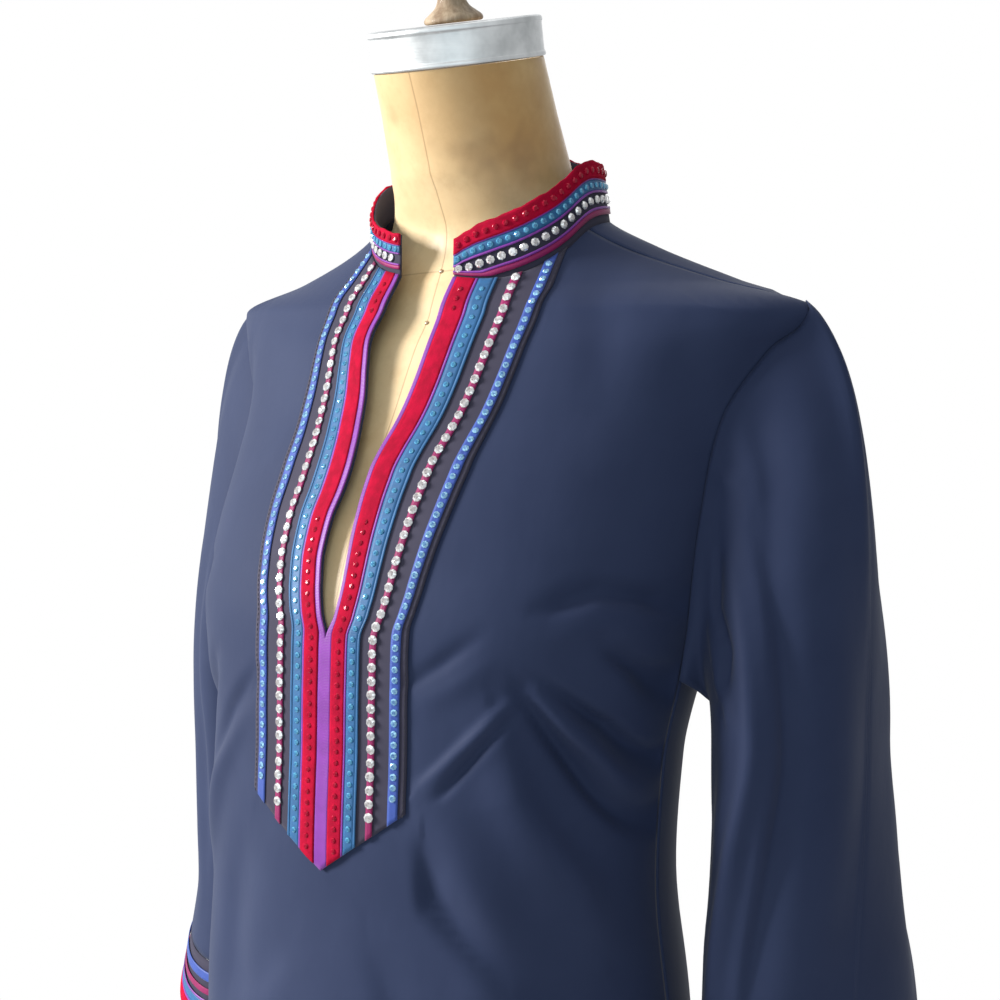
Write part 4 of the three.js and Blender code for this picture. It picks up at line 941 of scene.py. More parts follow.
# ---- back panel -----------------------------------------------------------------------------------
# One piece of cloth from side to side and over the shoulders to the seams, which lie on their tops.
# Its top edge runs in steps over the wearer's left shoulder, round the neck and over the right one.
SHOULDER_STEPS, NECK_STEPS = 5, 10
FAR_SHOULDER = SHOULDER_STEPS + NECK_STEPS
BACK_STEPS = FAR_SHOULDER + SHOULDER_STEPS
BACK_FINE = 5  # fine rows and columns for each step
BACK_LEVEL_ROW = 15
BACK_ROWS = 22
BACK_RISE = (0.4, 1.1)
TO_TIP_ROWS, TO_TIP = (18, 19, 20, 21, 22), (0, 0.3, 0.6, 0.82, 1)
HEART_INWARD, HEART_FORWARD, HEART_DOWN = 0.85, 15, 15
BACK_CREASES = [
    # points (x, z), width, depth, sharp
    ([(66, 1120), (72, 1030), (68, 930)], 15, 4.6, 0.2),
    ([(-72, 1130), (-68, 1040), (-62, 940)], 16, 4.8, -0.2),
    ([(40, 1110), (44, 1040), (40, 950)], 12, -2.6, 0.2),
    ([(-44, 1118), (-40, 1030), (-38, 960)], 12, -2.4, 0.1),
    ([(140, 1180), (100, 1146), (58, 1108)], 9, 3.0, 0.4),
    ([(-138, 1186), (-104, 1140), (-66, 1096)], 9, 3.3, -0.4),
    ([(142, 1150), (110, 1110), (80, 1090)], 10, -2.4, 0.2),
    ([(-144, 1146), (-112, 1104), (-86, 1080)], 10, -2.2, 0.2),
    ([(90, 910), (96, 850), (102, 778)], 18, 6.0, 0.1),
    ([(-78, 920), (-86, 850), (-96, 778)], 18, 6.2, 0.1),
    ([(20, 900), (16, 840), (12, 778)], 20, -3.6, 0.0),
    ([(134, 1000), (128, 940), (132, 880)], 14, 2.4, 0.2),
    ([(-20, 1392), (-30, 1330), (-24, 1280)], 16, -1.0, 0.1),
    ([(96, 1372), (110, 1320), (104, 1270)], 15, -1.6, 0.2),
    ([(-100, 1370), (-116, 1316), (-106, 1262)], 14, -1.8, 0.1)]

tip = shoulder_at(1, 1, EDGE_GAP)
step = np.linspace(0, BACK_STEPS, BACK_STEPS * BACK_FINE + 1)
start = SEAM_ANGLE + SEAM_GAP_ANGLE
left_part = shoulder_at(1, 1 - np.clip(step / SHOULDER_STEPS, 0, 1), EDGE_GAP)
right_part = shoulder_at(-1, np.clip((step - FAR_SHOULDER) / SHOULDER_STEPS, 0, 1), EDGE_GAP)
neck_part = neck_at(start + (360 - 2 * start) * np.clip((step - SHOULDER_STEPS) / NECK_STEPS, 0, 1))
after_left, after_neck = (step >= SHOULDER_STEPS)[:, None], (step > FAR_SHOULDER)[:, None]
back_top = np.where(after_neck, right_part, np.where(after_left, neck_part, left_part))
back_rows = np.linspace(0, BACK_ROWS, BACK_ROWS * BACK_FINE + 1)
edge_z = smoothly(ROWS[:, 2], np.minimum(back_rows, len(ROWS) - 1))
back_edge = side_at(1, np.where(edge_z < UNDERARM, -EDGE_GAP, -along(ARMHOLE, 2, edge_z)), edge_z)
to_tip = np.interp(back_rows, TO_TIP_ROWS, TO_TIP)[:, None]
back_edge = back_edge * (1 - to_tip) + tip * to_tip
angle = np.pi * step / BACK_STEPS


def oval(edge):
    """Half an oval in plan behind an edge place, at its height."""
    edge = edge[..., None, :]
    depth = along(BODY, BACK, edge[..., 2])
    return joined(edge[..., 0] * np.cos(angle), edge[..., 1] + depth * np.sin(angle), edge[..., 2])


def ease_in(value, low, high):
    """0 below low, 1 above high, smooth between."""
    t = np.clip((value - low) / (high - low), 0, 1)
    return t * t * (3 - 2 * t)


def level_row(row):
    """A row that starts level and rises towards the top edge's line, laid on the form."""
    edge = read_at(row, back_rows, back_edge)
    rise = ease_in(row / len(ROWS), *BACK_RISE)[:, None, None]
    return settle(oval(edge) + (back_top - oval(tip[None])) * rise)


def swing(first, last, share):
    """Rows that swing from one line to another about places inside the form, found on it by halving."""
    heart = np.stack([last[:, 0] * HEART_INWARD, last[:, 1] - HEART_FORWARD, first[:, 2] - HEART_DOWN], -1)
    ray = one_long(one_long(first - heart) * (1 - share) + one_long(last - heart) * share)
    low = np.zeros(ray.shape[:2])
    high = np.broadcast_to(2 * np.linalg.norm(last - first, axis=1), low.shape)
    for _ in range(HALVINGS):
        middle = (low + high) / 2
        inside = reach(heart + ray * middle[..., None]) < 1
        low, high = np.where(inside, middle, low), np.where(inside, high, middle)
    return heart + ray * low[..., None]


level = back_rows[back_rows <= BACK_LEVEL_ROW]
over = back_rows[back_rows > BACK_LEVEL_ROW]
lower_back = level_row(level)
share = ((over - BACK_LEVEL_ROW) / (BACK_ROWS - BACK_LEVEL_ROW))[:, None, None]
upper_back = swing(lower_back[-1], back_top, share)
# The columns within a step of either armhole run from the edge to the column beside them.
near_edge = np.clip(np.minimum(step, BACK_STEPS - step), 0, 1)
for column in np.flatnonzero(near_edge < 1):
    inner, mirror = (BACK_FINE, 1) if column < BACK_FINE else (len(step) - 1 - BACK_FINE, -1)
    edge = back_edge[back_rows > BACK_LEVEL_ROW] * (mirror, 1, 1)
    upper_back[:, column] = edge * (1 - near_edge[column]) + upper_back[:, inner] * near_edge[column]
upper_back[-1] = back_top
back_grid = np.concatenate([lower_back, upper_back])
back_normal = outward(back_grid)
calm = 1 - np.abs(step / BACK_STEPS * 2 - 1) ** (2 * CREASES_END)
back_grid += creased(back_grid, back_normal, BACK_CREASES, calm)
back_grid += back_normal * (CLOTH / 2)
back_sheet = [(back_grid, panel_uv(back_grid), False)]
back = laid_sheet("back_cloth", back_sheet, PANEL_WALL, navy, ["back"])

# ---- sleeves --------------------------------------------------------------------------------------
# Each sleeve is one piece, set over the armhole's edge and closed under the arm. Its head leaves the
# shoulder outwards, bends over and hangs; the elbow swings the lower part inwards.
SLEEVES = {
    # z, x and y of the oval's middle, its long and short radius, its turn in plan, its dip
    "left": np.array([(882, 233, 23, 72, 42, 32, 0.12), (928, 231, 27, 71, 41, 30, 0.1),
                      (965, 229, 31, 71, 41, 26, 0.08), (1010, 225, 33, 71, 41, 18, 0.05),
                      (1060, 221, 35, 71, 42, 8, 0.02), (1115, 217, 37, 71, 43, 0, 0)]),
    "right": np.array([(882, 229, 38, 65, 39, 33, 0.3), (928, 223, 43, 63, 39, 31, 0.28),
                       (965, 218, 47, 63, 39, 28, 0.22), (1010, 213, 49, 64, 40, 20, 0.14),
                       (1060, 211, 52, 65, 40, 12, 0.06), (1115, 210, 54, 66, 41, 4, 0)])}
SLEEVE_X, SLEEVE_Y, LONG, SHORT, TURNED, DIPPED = 1, 2, 3, 4, 5, 6
SLEEVE_SIDES = 120
CAP_ROWS = 8
TUBE_ROWS = 7
SLEEVE_FINE = 6  # fine rings for each row
SLEEVE_LAP = 2.4  # how far the head lies over the armhole's edge
HEAD_LIFT, HEAD_BULGE = CLOTH * 0.6, 0.7
LIFT_UNDERARM, BULGE_UNDERARM = 0.8, 1.0  # what both gain under the arm
BULGE_ENDS = (0.06, 0.5)
HEAD_LEAVES = (0.56, 0, -0.45)  # the way the head leaves the shoulder, sideways and down
LEAVES_UNDERARM = 0.5
FOLDS_SET_IN = 9  # rings over which the folds set in below the head's edge
CUFF_TOP, CUFF_FOOT = 928, 882
ARMHOLE_Y, ARMHOLE_Z = 38, 1256  # the middle of the armhole
SLEEVE_CREASES = {
    # points (degrees round from outermost over the back, z), width, depth, sharp
    "left": [
        ([(291, 1240), (298, 1180), (301, 1120), (300, 1050), (298, 930)], 10, -7.2, 0.35),
        ([(268, 1216), (273, 1166), (276, 1120), (270, 1056), (266, 960)], 8, 5.2, 0.1),
        ([(258, 1226), (246, 1194), (256, 1172), (250, 1136)], 5, -4.6, 0.3),
        ([(236, 1180), (248, 1150), (262, 1128)], 5, 3.4, 0.2),
        ([(314, 1352), (309, 1334), (304, 1268), (296, 1220)], 8, -3.0, 0.3),
        ([(264, 1306), (272, 1286), (284, 1270)], 6, -2.6, 0.2),
        ([(262, 1282), (272, 1268), (292, 1262)], 6, 2.0, 0.1),
        ([(332, 1250), (338, 1150), (336, 1040), (330, 950)], 15, 2.2, 0.1),
        ([(352, 1200), (358, 1090), (352, 985)], 14, -1.6, 0.1),
        ([(278, 1090), (284, 1040), (280, 990), (284, 930)], 9, -1.8, 0.2),
        ([(238, 1120), (230, 1070), (240, 1010)], 11, -2.4, 0.2),
        ([(60, 1170), (64, 1060), (58, 950)], 16, -4.0, 0.2),
        ([(104, 1130), (110, 1020), (104, 920)], 16, 4.0, -0.2),
        ([(34, 1220), (30, 1130), (36, 1040)], 14, 2.2, 0.2)],
    "right": [
        ([(292, 1210), (298, 1150), (296, 1080), (300, 990)], 10, -3.4, 0.3),
        ([(318, 1190), (322, 1110), (316, 1010), (320, 930)], 12, 2.8, 0.1),
        ([(262, 1210), (252, 1180), (258, 1140)], 7, -2.6, 0.3),
        ([(340, 1260), (346, 1150), (342, 1030)], 14, -1.8, 0.1),
        ([(232, 1130), (228, 1060), (236, 1000)], 12, 2.8, 0.2),
        ([(56, 1180), (62, 1070), (56, 960)], 16, -3.6, 0.2),
        ([(98, 1120), (106, 1010), (100, 920)], 15, 3.6, -0.2),
        ([(28, 1230), (22, 1140), (30, 1050)], 14, 2.4, 0.2)]}


def even_loop(line, count):
    """Even places round a closed line of points, from its first."""
    line = np.concatenate([line, line[:1]])
    lengths = walked(line)
    return read_at(np.linspace(0, lengths[-1], count, endpoint=False), lengths, line)


def oval_at(table, sign, degrees, z):
    """A sleeve's level oval, turned in plan and dipped towards the front edge."""
    angle, turn = np.radians(degrees), np.radians(along(table, TURNED, z))
    across, lengthwise = along(table, SHORT, z) * np.cos(angle), along(table, LONG, z) * np.sin(angle)
    x = along(table, SLEEVE_X, z) + across * np.cos(turn) + lengthwise * np.sin(turn)
    y = along(table, SLEEVE_Y, z) - across * np.sin(turn) + lengthwise * np.cos(turn)
    return joined(sign * x, y, z + along(table, DIPPED, z) * lengthwise)


def ring_directions(rings, sign):
    """Outward directions of closed rings from the top down."""
    around = np.roll(rings, -1, 1) - np.roll(rings, 1, 1)
    padded = np.concatenate([rings[:1], rings, rings[-1:]])
    return one_long(np.cross(around, padded[:-2] - padded[2:]) * sign)


def closed_ring(grid, uv_up, sign):
    """Rings from the top down as a grid whose last column repeats the first, with a UV map in metres."""
    grid = np.concatenate([grid, grid[:, :1]], 1)
    around = walked(grid[len(grid) // 2])
    uv = np.stack(np.broadcast_arrays(around[None] * 0.001, uv_up[:, None] * 0.001), -1)
    return grid, uv, sign > 0


degrees = np.arange(SLEEVE_SIDES) * 360 / SLEEVE_SIDES
for side, sign in SIDES.items():
    table = SLEEVES[side]
    edges = (armhole_edges[side], back_edge * (sign, 1, 1))
    front_edge, rear_edge = [edge[edge[:, 2] >= UNDERARM] for edge in edges]
    loop = even_loop(np.concatenate([rear_edge[::-1], front_edge[1:]]), SLEEVE_SIDES)
    low = np.clip((loop[0, 2] - loop[:, 2]) / (loop[0, 2] - UNDERARM), 0, 1)[:, None]
    seat = outward(loop)
    lap = loop * (0, 1, 1) - (0, ARMHOLE_Y, ARMHOLE_Z)
    lap = one_long(lap - seat * np.sum(lap * seat, 1, keepdims=True))
    head = loop + seat * (HEAD_LIFT + LIFT_UNDERARM * low) + lap * SLEEVE_LAP
    bulge = seat * (HEAD_BULGE + BULGE_UNDERARM * low)
    top_z = table[-1, 0]
    foot = oval_at(table, sign, degrees, np.full(SLEEVE_SIDES, top_z))
    length = np.linalg.norm(foot - head, axis=1, keepdims=True)
    leave = HEAD_LEAVES * np.array((sign, 1, 1)) * length * (1 - LEAVES_UNDERARM * low)
    # The cap's lines are cubic: they leave the head's edge that way and hang straight at the arm's top.
    s = np.linspace(0, 1, CAP_ROWS * SLEEVE_FINE, endpoint=False)[:, None, None]
    cap = head * (1 + 2 * s) * (1 - s) ** 2 + leave * s * (1 - s) ** 2 + foot * s * s * (3 - 2 * s)
    cap += np.array((0, 0, -1)) * length * s * s * (s - 1)
    cap += bulge * (ease_in(s, 0, BULGE_ENDS[0]) * (1 - ease_in(s, *BULGE_ENDS)))
    tube_z = np.linspace(top_z, CUFF_TOP + 2 * SEAM, TUBE_ROWS * SLEEVE_FINE + 1)
    tube = oval_at(table, sign, degrees[None], tube_z[:, None])
    rings = np.concatenate([cap, tube])
    normal = ring_directions(rings, sign)
    fold = crease_lift(SLEEVE_CREASES[side], np.broadcast_to(degrees, rings.shape[:2]), rings[..., 2])
    rings = rings + normal * (fold * ease_in(np.arange(len(rings)), 0, FOLDS_SET_IN)[:, None])[..., None]
    tube = closed_ring(rings + normal * (CLOTH / 2), -walked(rings[:, 0]), sign)
    sleeve = laid_sheet(f"sleeve_{side}_cloth", [tube], PANEL_WALL, navy, [f"sleeve_{side}"])

# ---- cuffs ----------------------------------------------------------------------------------------
# A charcoal band joined to each sleeve's foot, with blue, magenta, teal and red velvet ribbon round
# it and thin purple piping between them. No stones are set on them.
CUFF_TRIM = [
    # name, finish, slot, lower and upper edge, wall
    ("red", red_velvet, "red_ribbon", 884, 893.5, 1.1),
    ("teal", teal, "teal_ribbon", 895, 901.5, 0.6),
    ("magenta", magenta, "magenta_ribbon", 906.5, 910.5, 0.6),
    ("blue", blue, "blue_ribbon", 915, 921, 0.6)]
CUFF_PIPING = ((893.3, 895.2), (901.4, 902.8))
CUFF_ROWS, CUFF_RIBBON_ROWS = 12, 6
CUFF_TRIM_LIFT, CUFF_PIPING_LIFT = 2.0, 2.3
FOLDS_READ_AT, FOLDS_KEPT = 945, 0.6  # the sleeve's folds run on into the cuff and fade to its foot
for side, sign in SIDES.items():
    ends = oval_at(SLEEVES[side], sign, degrees[None], np.array([[CUFF_TOP], [CUFF_FOOT]]))
    end_normals = ring_directions(ends, sign)
    lift = crease_lift(SLEEVE_CREASES[side], degrees, FOLDS_READ_AT)[:, None] * FOLDS_KEPT

    def cuff_ring(heights, lift_out, ends=ends, end_normals=end_normals, lift=lift, sign=sign):
        """Part of the straight cuff at heights from the top down, lifted outwards, as a closed ring."""
        share = ((CUFF_TOP - heights) / (CUFF_TOP - CUFF_FOOT))[:, None, None]
        normal = one_long(end_normals[0] * (1 - share) + end_normals[1] * share)
        rings = ends[0] * (1 - share) + ends[1] * share + normal * (lift * (1 - share) + lift_out)
        return [closed_ring(rings, heights, sign)]

    band = cuff_ring(np.linspace(CUFF_TOP, CUFF_FOOT, CUFF_ROWS), CLOTH / 2)
    cuff = laid_sheet(f"cuff_{side}_cloth", band, 0.9, charcoal, [f"cuff_{side}"])
    for name, finish, slot, low_z, high_z, wall in CUFF_TRIM:
        dome = pile_dome(CUFF_RIBBON_ROWS)[:, None, None] * (name == "red")
        band = cuff_ring(np.linspace(high_z, low_z, CUFF_RIBBON_ROWS), CUFF_TRIM_LIFT + dome)
        ribbon = laid_sheet(f"cuff_{side}_{name}_ribbon", band, wall, finish, [f"cuff_{side}_{name}"])
    for count, (low_z, high_z) in enumerate(CUFF_PIPING):
        band = cuff_ring(np.array([high_z, low_z]), CUFF_PIPING_LIFT)
        laid_sheet(f"cuff_{side}_piping_{count}", band, 0.5, purple)

# ---- stand collar ---------------------------------------------------------------------------------
# A charcoal band that stands up from the neck seam, open at the front, with magenta, teal and red
# velvet ribbon, thin purple piping, and stones between and on them.
COLLAR = np.array([
    # plan angle, height, how far in its top lies, width that the ribbons are spread over
    (0, 21, 1, 22), (18, 21.5, 1, 22), (24, 26, 1.5, 25.5), (32, 32, 2, 28.5), (45, 37, 3, 32),
    (60, 40, 4, 33), (84, 38, 5.5, 33), (105, 33, 5.5, 33), (150, 30, 4, 33), (200, 28, 3, 33),
    (240, 24, 2, 33), (280, 20.5, 1, 33), (305, 22.5, 0.5, 33), (325, 24.5, 0.5, 33), (345, 23.5, 0.5, 33)])
COLLAR_HEIGHT, COLLAR_INWARD, COLLAR_SPREAD = 1, 2, 3
COLLAR_RISE = 2.1
COLLAR_LEAN = 0.12  # how far its outward direction tips up
COLLAR_COLUMNS = 241
SEAM_TURNED_IN = 2.6
BAND_TOP = 0.985  # the charcoal ends just below the velvet's edge
COLLAR_UV_HEIGHT = 0.033
collar_ends = (neck_angle(1, SLIT[-1, 1]), 360 - neck_angle(-1, SLIT[-1, 2]))
collar_degrees = np.linspace(*collar_ends, COLLAR_COLUMNS)
collar_foot = neck_at(collar_degrees) + (0, 0, COLLAR_RISE)
tangent = neck_at(collar_degrees + 1) - neck_at(collar_degrees - 1)
collar_out = one_long(joined(tangent[:, 1], -tangent[:, 0], 0))
collar_height = along(COLLAR, COLLAR_HEIGHT, collar_degrees)
collar_top = collar_foot - collar_out * along(COLLAR, COLLAR_INWARD, collar_degrees)[:, None]
collar_top[:, 2] += collar_height
collar_out = one_long(collar_out + (0, 0, COLLAR_LEAN))
collar_spread = along(COLLAR, COLLAR_SPREAD, collar_degrees)
along_collar = walked(collar_top)


def below_top(distance, least=0.0):
    """The collar's share of height at a distance under its top edge, for every column."""
    return np.maximum(least, 1 - distance / collar_spread)


def collar_grid(low, high, rows, lift, ripple=0.0):
    """Rows of the collar between two lines of shares of its height, lifted outwards; ripple waves the
    top row by two sines along it."""
    step = np.linspace(0, 1, rows)[:, None]
    shares = (low * (1 - step) + high * step)[..., None]
    grid = collar_foot * (1 - shares) + collar_top * shares + collar_out * lift
    wave = ripple * (np.sin(along_collar / 2.7) + 0.6 * np.sin(along_collar / 1.3 + 1)) / 1.6
    grid[-1, :, 2] += wave
    uv = np.stack(np.broadcast_arrays(shares[..., 0] * COLLAR_UV_HEIGHT, along_collar[None] * 0.001), -1)
    return grid, uv, False


turned_in = -SEAM_TURNED_IN / collar_height
band = collar_grid(turned_in, BAND_TOP, 10, CLOTH / 2)
collar = laid_sheet("collar_cloth", [band], 1.0, charcoal, ["collar"])
COLLAR_TRIM = [
    # name, finish, slot, lower and upper edge below the top, their least shares, lift, rows, wall, ripple
    ("magenta", magenta, "magenta_ribbon", 30, 26.5, 0.02, 0.1, 2.0, 3, 0.6, 0),
    ("teal", teal, "teal_ribbon", 16.3, 10, 0, 0, 2.0, 4, 0.6, 0),
    ("red", red_velvet, "red_ribbon", 9.6, 0, 0, 0, 2.1, 7, 1.2, 0.45)]
for name, finish, slot, low, high, low_least, high_least, lift, rows, wall, ripple in COLLAR_TRIM:
    band = collar_grid(below_top(low, low_least), below_top(high, high_least), rows, lift, ripple)
    laid_sheet(f"collar_{name}_ribbon", [band], wall, finish, [f"collar_{name}"])
COLLAR_PIPING_LIFT = 2.25
COLLAR_PIPING = [
    # lower and upper edge below the top, and their least shares
    (26.7, 25.3, 0.085, 0.125), (17.4, 16.1, 0, 0), (10.3, 9.3, 0, 0)]
for count, (low, high, low_least, high_least) in enumerate(COLLAR_PIPING):
    band = collar_grid(below_top(low, low_least), below_top(high, high_least), 2, COLLAR_PIPING_LIFT)
    laid_sheet(f"collar_piping_{count}", [band], 0.6, purple)
COLLAR_STONES = [
    # name, finish, slot, distance below the top, least share, lift, pitch, radius
    ("clear", clear_stone, "trim_ground", 21.2, 0.18, 1.7, 7.2, 2.7),
    ("teal", teal_stone, "teal_ribbon", 13.2, 0, 2.3, 5.8, 1.9),
    ("red", red_stone, "red_ribbon", 5.0, 0, 2.8, 6.6, 2.0)]
for name, finish, slot, distance, least, lift, pitch, radius in COLLAR_STONES:
    line = collar_grid(below_top(distance, least), 1, 2, lift)[0][0]
    runs = [spaced(line, collar_out, pitch, pitch * 0.5, pitch * 0.4)]
    stones(f"collar_stones_{name}", runs, radius, finish, slot)

# ---- dress form -----------------------------------------------------------------------------------
# A papier-mache body under shellac, hollow and closed at the foot, smooth and limbless, with a neck
# that leans forward. The paper has aged to amber, with darker stains and fine joins between sheets;
# amber on the neck's left, the side away from the key light, is painted shade.
FORM_SIDES = 128
NECK_TILT = math.radians(11)
CAP_RADIUS, CAP_HEIGHT, CAP_Y, CAP_Z = 53.5, 25, -3, 1513
NECK_JOIN = 1386.5
NECK_RINGS = 8  # rings up each of the neck's two lengths
turn = 2 * np.pi * np.arange(FORM_SIDES) / FORM_SIDES


def level_section(half, front, back, centre, power, z):
    """One level ring: a superellipse with its own depth before and behind."""
    def bend(value):
        return np.sign(value) * np.abs(value) ** (2 / power)

    depth = np.where(np.cos(turn) > 0, front, back)
    return joined(half * bend(np.sin(turn)), centre - depth * bend(np.cos(turn)), z)


def on_neck(points):
    """Places given about the neck's top, leaned forward with it."""
    x, y, z = points[..., 0], points[..., 1], points[..., 2]
    sine, cosine = math.sin(NECK_TILT), math.cos(NECK_TILT)
    return joined(x, y * cosine - z * sine + CAP_Y, y * sine + z * cosine + CAP_Z)


FORM_FOOT = [
    # half width, depth in front, depth behind, centre, power, z: the rounded rim at the foot
    (150, 104, 100, -18, 2.1, 722), (156, 108, 104, -18, 2.1, 727), (158, 109, 105, -18, 2.1, 735)]
FORM_NECK = (54.5, 55, 55, 9, 2, 1482)
form_rings = [level_section(*row) for row in FORM_FOOT]
for z in np.concatenate([np.arange(785, 1340, 8), np.arange(1340, 1451, 5)]):
    reaches = [along(BODY, column, z) - along(EASES, column, z) for column in (HALF, FRONT, BACK)]
    form_rings.append(level_section(*reaches, along(BODY, CENTRE, z), along(BODY, POWER, z), z))
lower = form_rings[-1]
upper = level_section(*FORM_NECK)
rim = CAP_RADIUS - 1
neck_top = on_neck(joined(rim * np.sin(turn), -rim * np.cos(turn), -SEAM))
for first, last in ((lower, upper), (upper, neck_top)):
    for t in np.linspace(0, 1, NECK_RINGS + 1)[1:]:
        form_rings.append(first * (1 - t) + last * t)
form_grid = np.stack(form_rings)

# The paper is paler up the neck. It turns amber near the neck's top, where the shellac has yellowed, and on
# the neck's left, the side away from the key light, as painted shade.
CHEST_DARK, CHEST_LIGHT = (0.800, 0.560, 0.285), (0.890, 0.690, 0.410)
NECK_DARK, NECK_LIGHT = (0.930, 0.690, 0.390), (0.985, 0.810, 0.510)
AMBER_DARK, AMBER_LIGHT = (0.610, 0.345, 0.122), (0.920, 0.650, 0.300)
MOTTLE, STAIN, JOIN = (0.50, 0.28, 0.10), (0.30, 0.155, 0.065), (0.36, 0.20, 0.09)
SEAM_LINE_X = 0.001
JOIN_SLOPE = 0.06
SEAM_SHARPNESS, JOIN_SHARPNESS = 2.5e6, 3e6
paper = Finish("shellacked paper", Coat_Weight=0.25, Coat_Roughness=0.25)
height = paper.node("ShaderNodeSeparateXYZ", output=2, Vector=paper.place())
across = paper.node("ShaderNodeSeparateXYZ", output=0, Vector=paper.place())
clouds = paper.noise(9.0, 5.0, 0.62)
mottle = paper.noise(55.0, 4.0, 0.7)
speck = paper.noise(420.0, 2.0, 0.6)
stain = paper.noise(16.0, 3.0, 0.55, turn=(0.4, 0.2, 1.1)).step(0.56, 0.74)
# Painted shade: the amber on the neck's left; the amber near the top is yellowed shellac.
aged_and_shade = (height.step(1.38, 1.50) * 0.5 + across.step(0.0, 0.055) * 0.6 * height.step(1.41, 1.46)).limited()
chest = mixed(paper.tree, clouds.step(0.35, 0.7), CHEST_DARK, CHEST_LIGHT)
neck = mixed(paper.tree, clouds.step(0.35, 0.7), NECK_DARK, NECK_LIGHT)
pale = mixed(paper.tree, height.step(1.37, 1.42), chest, neck)
amber = mixed(paper.tree, clouds.step(0.3, 0.7), AMBER_DARK, AMBER_LIGHT)
base = mixed(paper.tree, aged_and_shade, pale, amber)
base = mixed(paper.tree, mottle.step(0.42, 0.75) * 0.22, base, MOTTLE)
base = mixed(paper.tree, stain * height.step(1.38, 1.45) * 0.5, base, STAIN)
seam_line = across - SEAM_LINE_X
join_line = height - NECK_JOIN * 0.001 - across * JOIN_SLOPE
seam_dark = (1 - (seam_line * seam_line * SEAM_SHARPNESS).limited()) * 0.6
join_dark = (1 - (join_line * join_line * JOIN_SHARPNESS).limited()) * 0.4
lines_dark = seam_dark.at_least(join_dark)
paper.feed("Base Color", mixed(paper.tree, lines_dark, base, JOIN))
paper.feed("Roughness", mottle * 0.25 + 0.38)
paper.bump(mottle * 0.5 + speck * 0.3 - lines_dark * 0.5, 0.35, 0.0006)


def ends_filled(piece):
    """Open ends get one flat face each, with a sharp rim."""
    shell = bmesh.new()
    shell.from_mesh(piece.data)
    for face in bmesh.ops.holes_fill(shell, edges=shell.edges, sides=0)["faces"]:
        face.smooth = False
        for edge in face.edges:
            edge.smooth = False
    bmesh.ops.recalc_face_normals(shell, faces=shell.faces)
    shell.to_mesh(piece.data)
    shell.free()


def finished(piece, finish, slot, *nodes):
    """A solid piece gets its finish, rides on the whole and stands for its nodes."""
    piece.data.materials.append(finish.material)
    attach(piece, "root")
    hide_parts(*nodes)


form_faces = sheet_faces(*form_grid.shape[:2], ring=True)
form_body = mesh_piece("form_body_paper", form_grid.reshape(-1, 3), form_faces)
ends_filled(form_body)
finished(form_body, paper, "form_paper", "form_body")

# ---- pins -----------------------------------------------------------------------------------------
# Two pins mark the neck's join and the centre line below it: round heads on the paper.
PIN_DARK, PIN_LIGHT = (0.42, 0.30, 0.20), (0.62, 0.48, 0.34)
PIN_HEIGHTS = np.array([NECK_JOIN, 1355])
PIN_SIDES = 12
PIN_HEAD = np.array([
    # radius, height over the paper
    (1.5, -0.2), (1.5, 0.3), (1.1, 0.8), (0.5, 1.05), (0.05, 1.1)])
SLOPE_OVER = 2  # the paper's slope is read over this height
pin_steel = Finish("pin steel", Metallic=0.9, Roughness=0.35)
pin_steel.feed("Base Color", mixed(pin_steel.tree, pin_steel.noise(900.0), PIN_DARK, PIN_LIGHT))


def form_front(z):
    """Where the dress form's front lies on the centre line, at a height."""
    return along(BODY, CENTRE, z) - (along(BODY, FRONT, z) - along(EASES, FRONT, z))


pin_turn = np.arange(PIN_SIDES) * 2 * math.pi / PIN_SIDES
head_radius, head_up = PIN_HEAD[:, :1], PIN_HEAD[:, 1:]
pin_head = joined(head_radius * np.cos(pin_turn), head_radius * np.sin(pin_turn), head_up)
pin_slope = (form_front(PIN_HEIGHTS) - form_front(PIN_HEIGHTS - SLOPE_OVER)) / SLOPE_OVER
pin_place = joined(SEAM_LINE_X * 1000, form_front(PIN_HEIGHTS), PIN_HEIGHTS)
pin_out = one_long(joined(0, -1, pin_slope))
pin_faces = sheet_faces(*pin_head.shape[:2], ring=True)
repeated("form_pins", pin_head.reshape(-1, 3), pin_faces, pin_place, pin_out, np.cross(pin_out, (1, 0, 0)),
         np.ones(len(pin_out)), pin_steel, "form_paper", smooth=True)

# ---- neck cap and finial --------------------------------------------------------------------------
# A spun metal cap, brushed round its band, closes the neck, and a turned, weathered wooden finial
# stands on it.
def rounded_profile(corners, radius):
    """A profile of (radius, height) corners with each corner eased by a small curve."""
    corners = np.array(corners, float)
    line = [corners[0]]
    for before, corner, after in zip(corners[:-2], corners[1:-1], corners[2:]):
        to_before, to_after = before - corner, after - corner
        ease_before = min(radius, np.linalg.norm(to_before) / 2.1) * to_before / np.linalg.norm(to_before)
        ease_after = min(radius, np.linalg.norm(to_after) / 2.1) * to_after / np.linalg.norm(to_after)
        for t in (0, 0.25, 0.5, 0.75, 1):
            line.append(corner + ease_before * (1 - t) ** 2 + ease_after * t ** 2)
    line.append(corners[-1])
    return np.array(line)


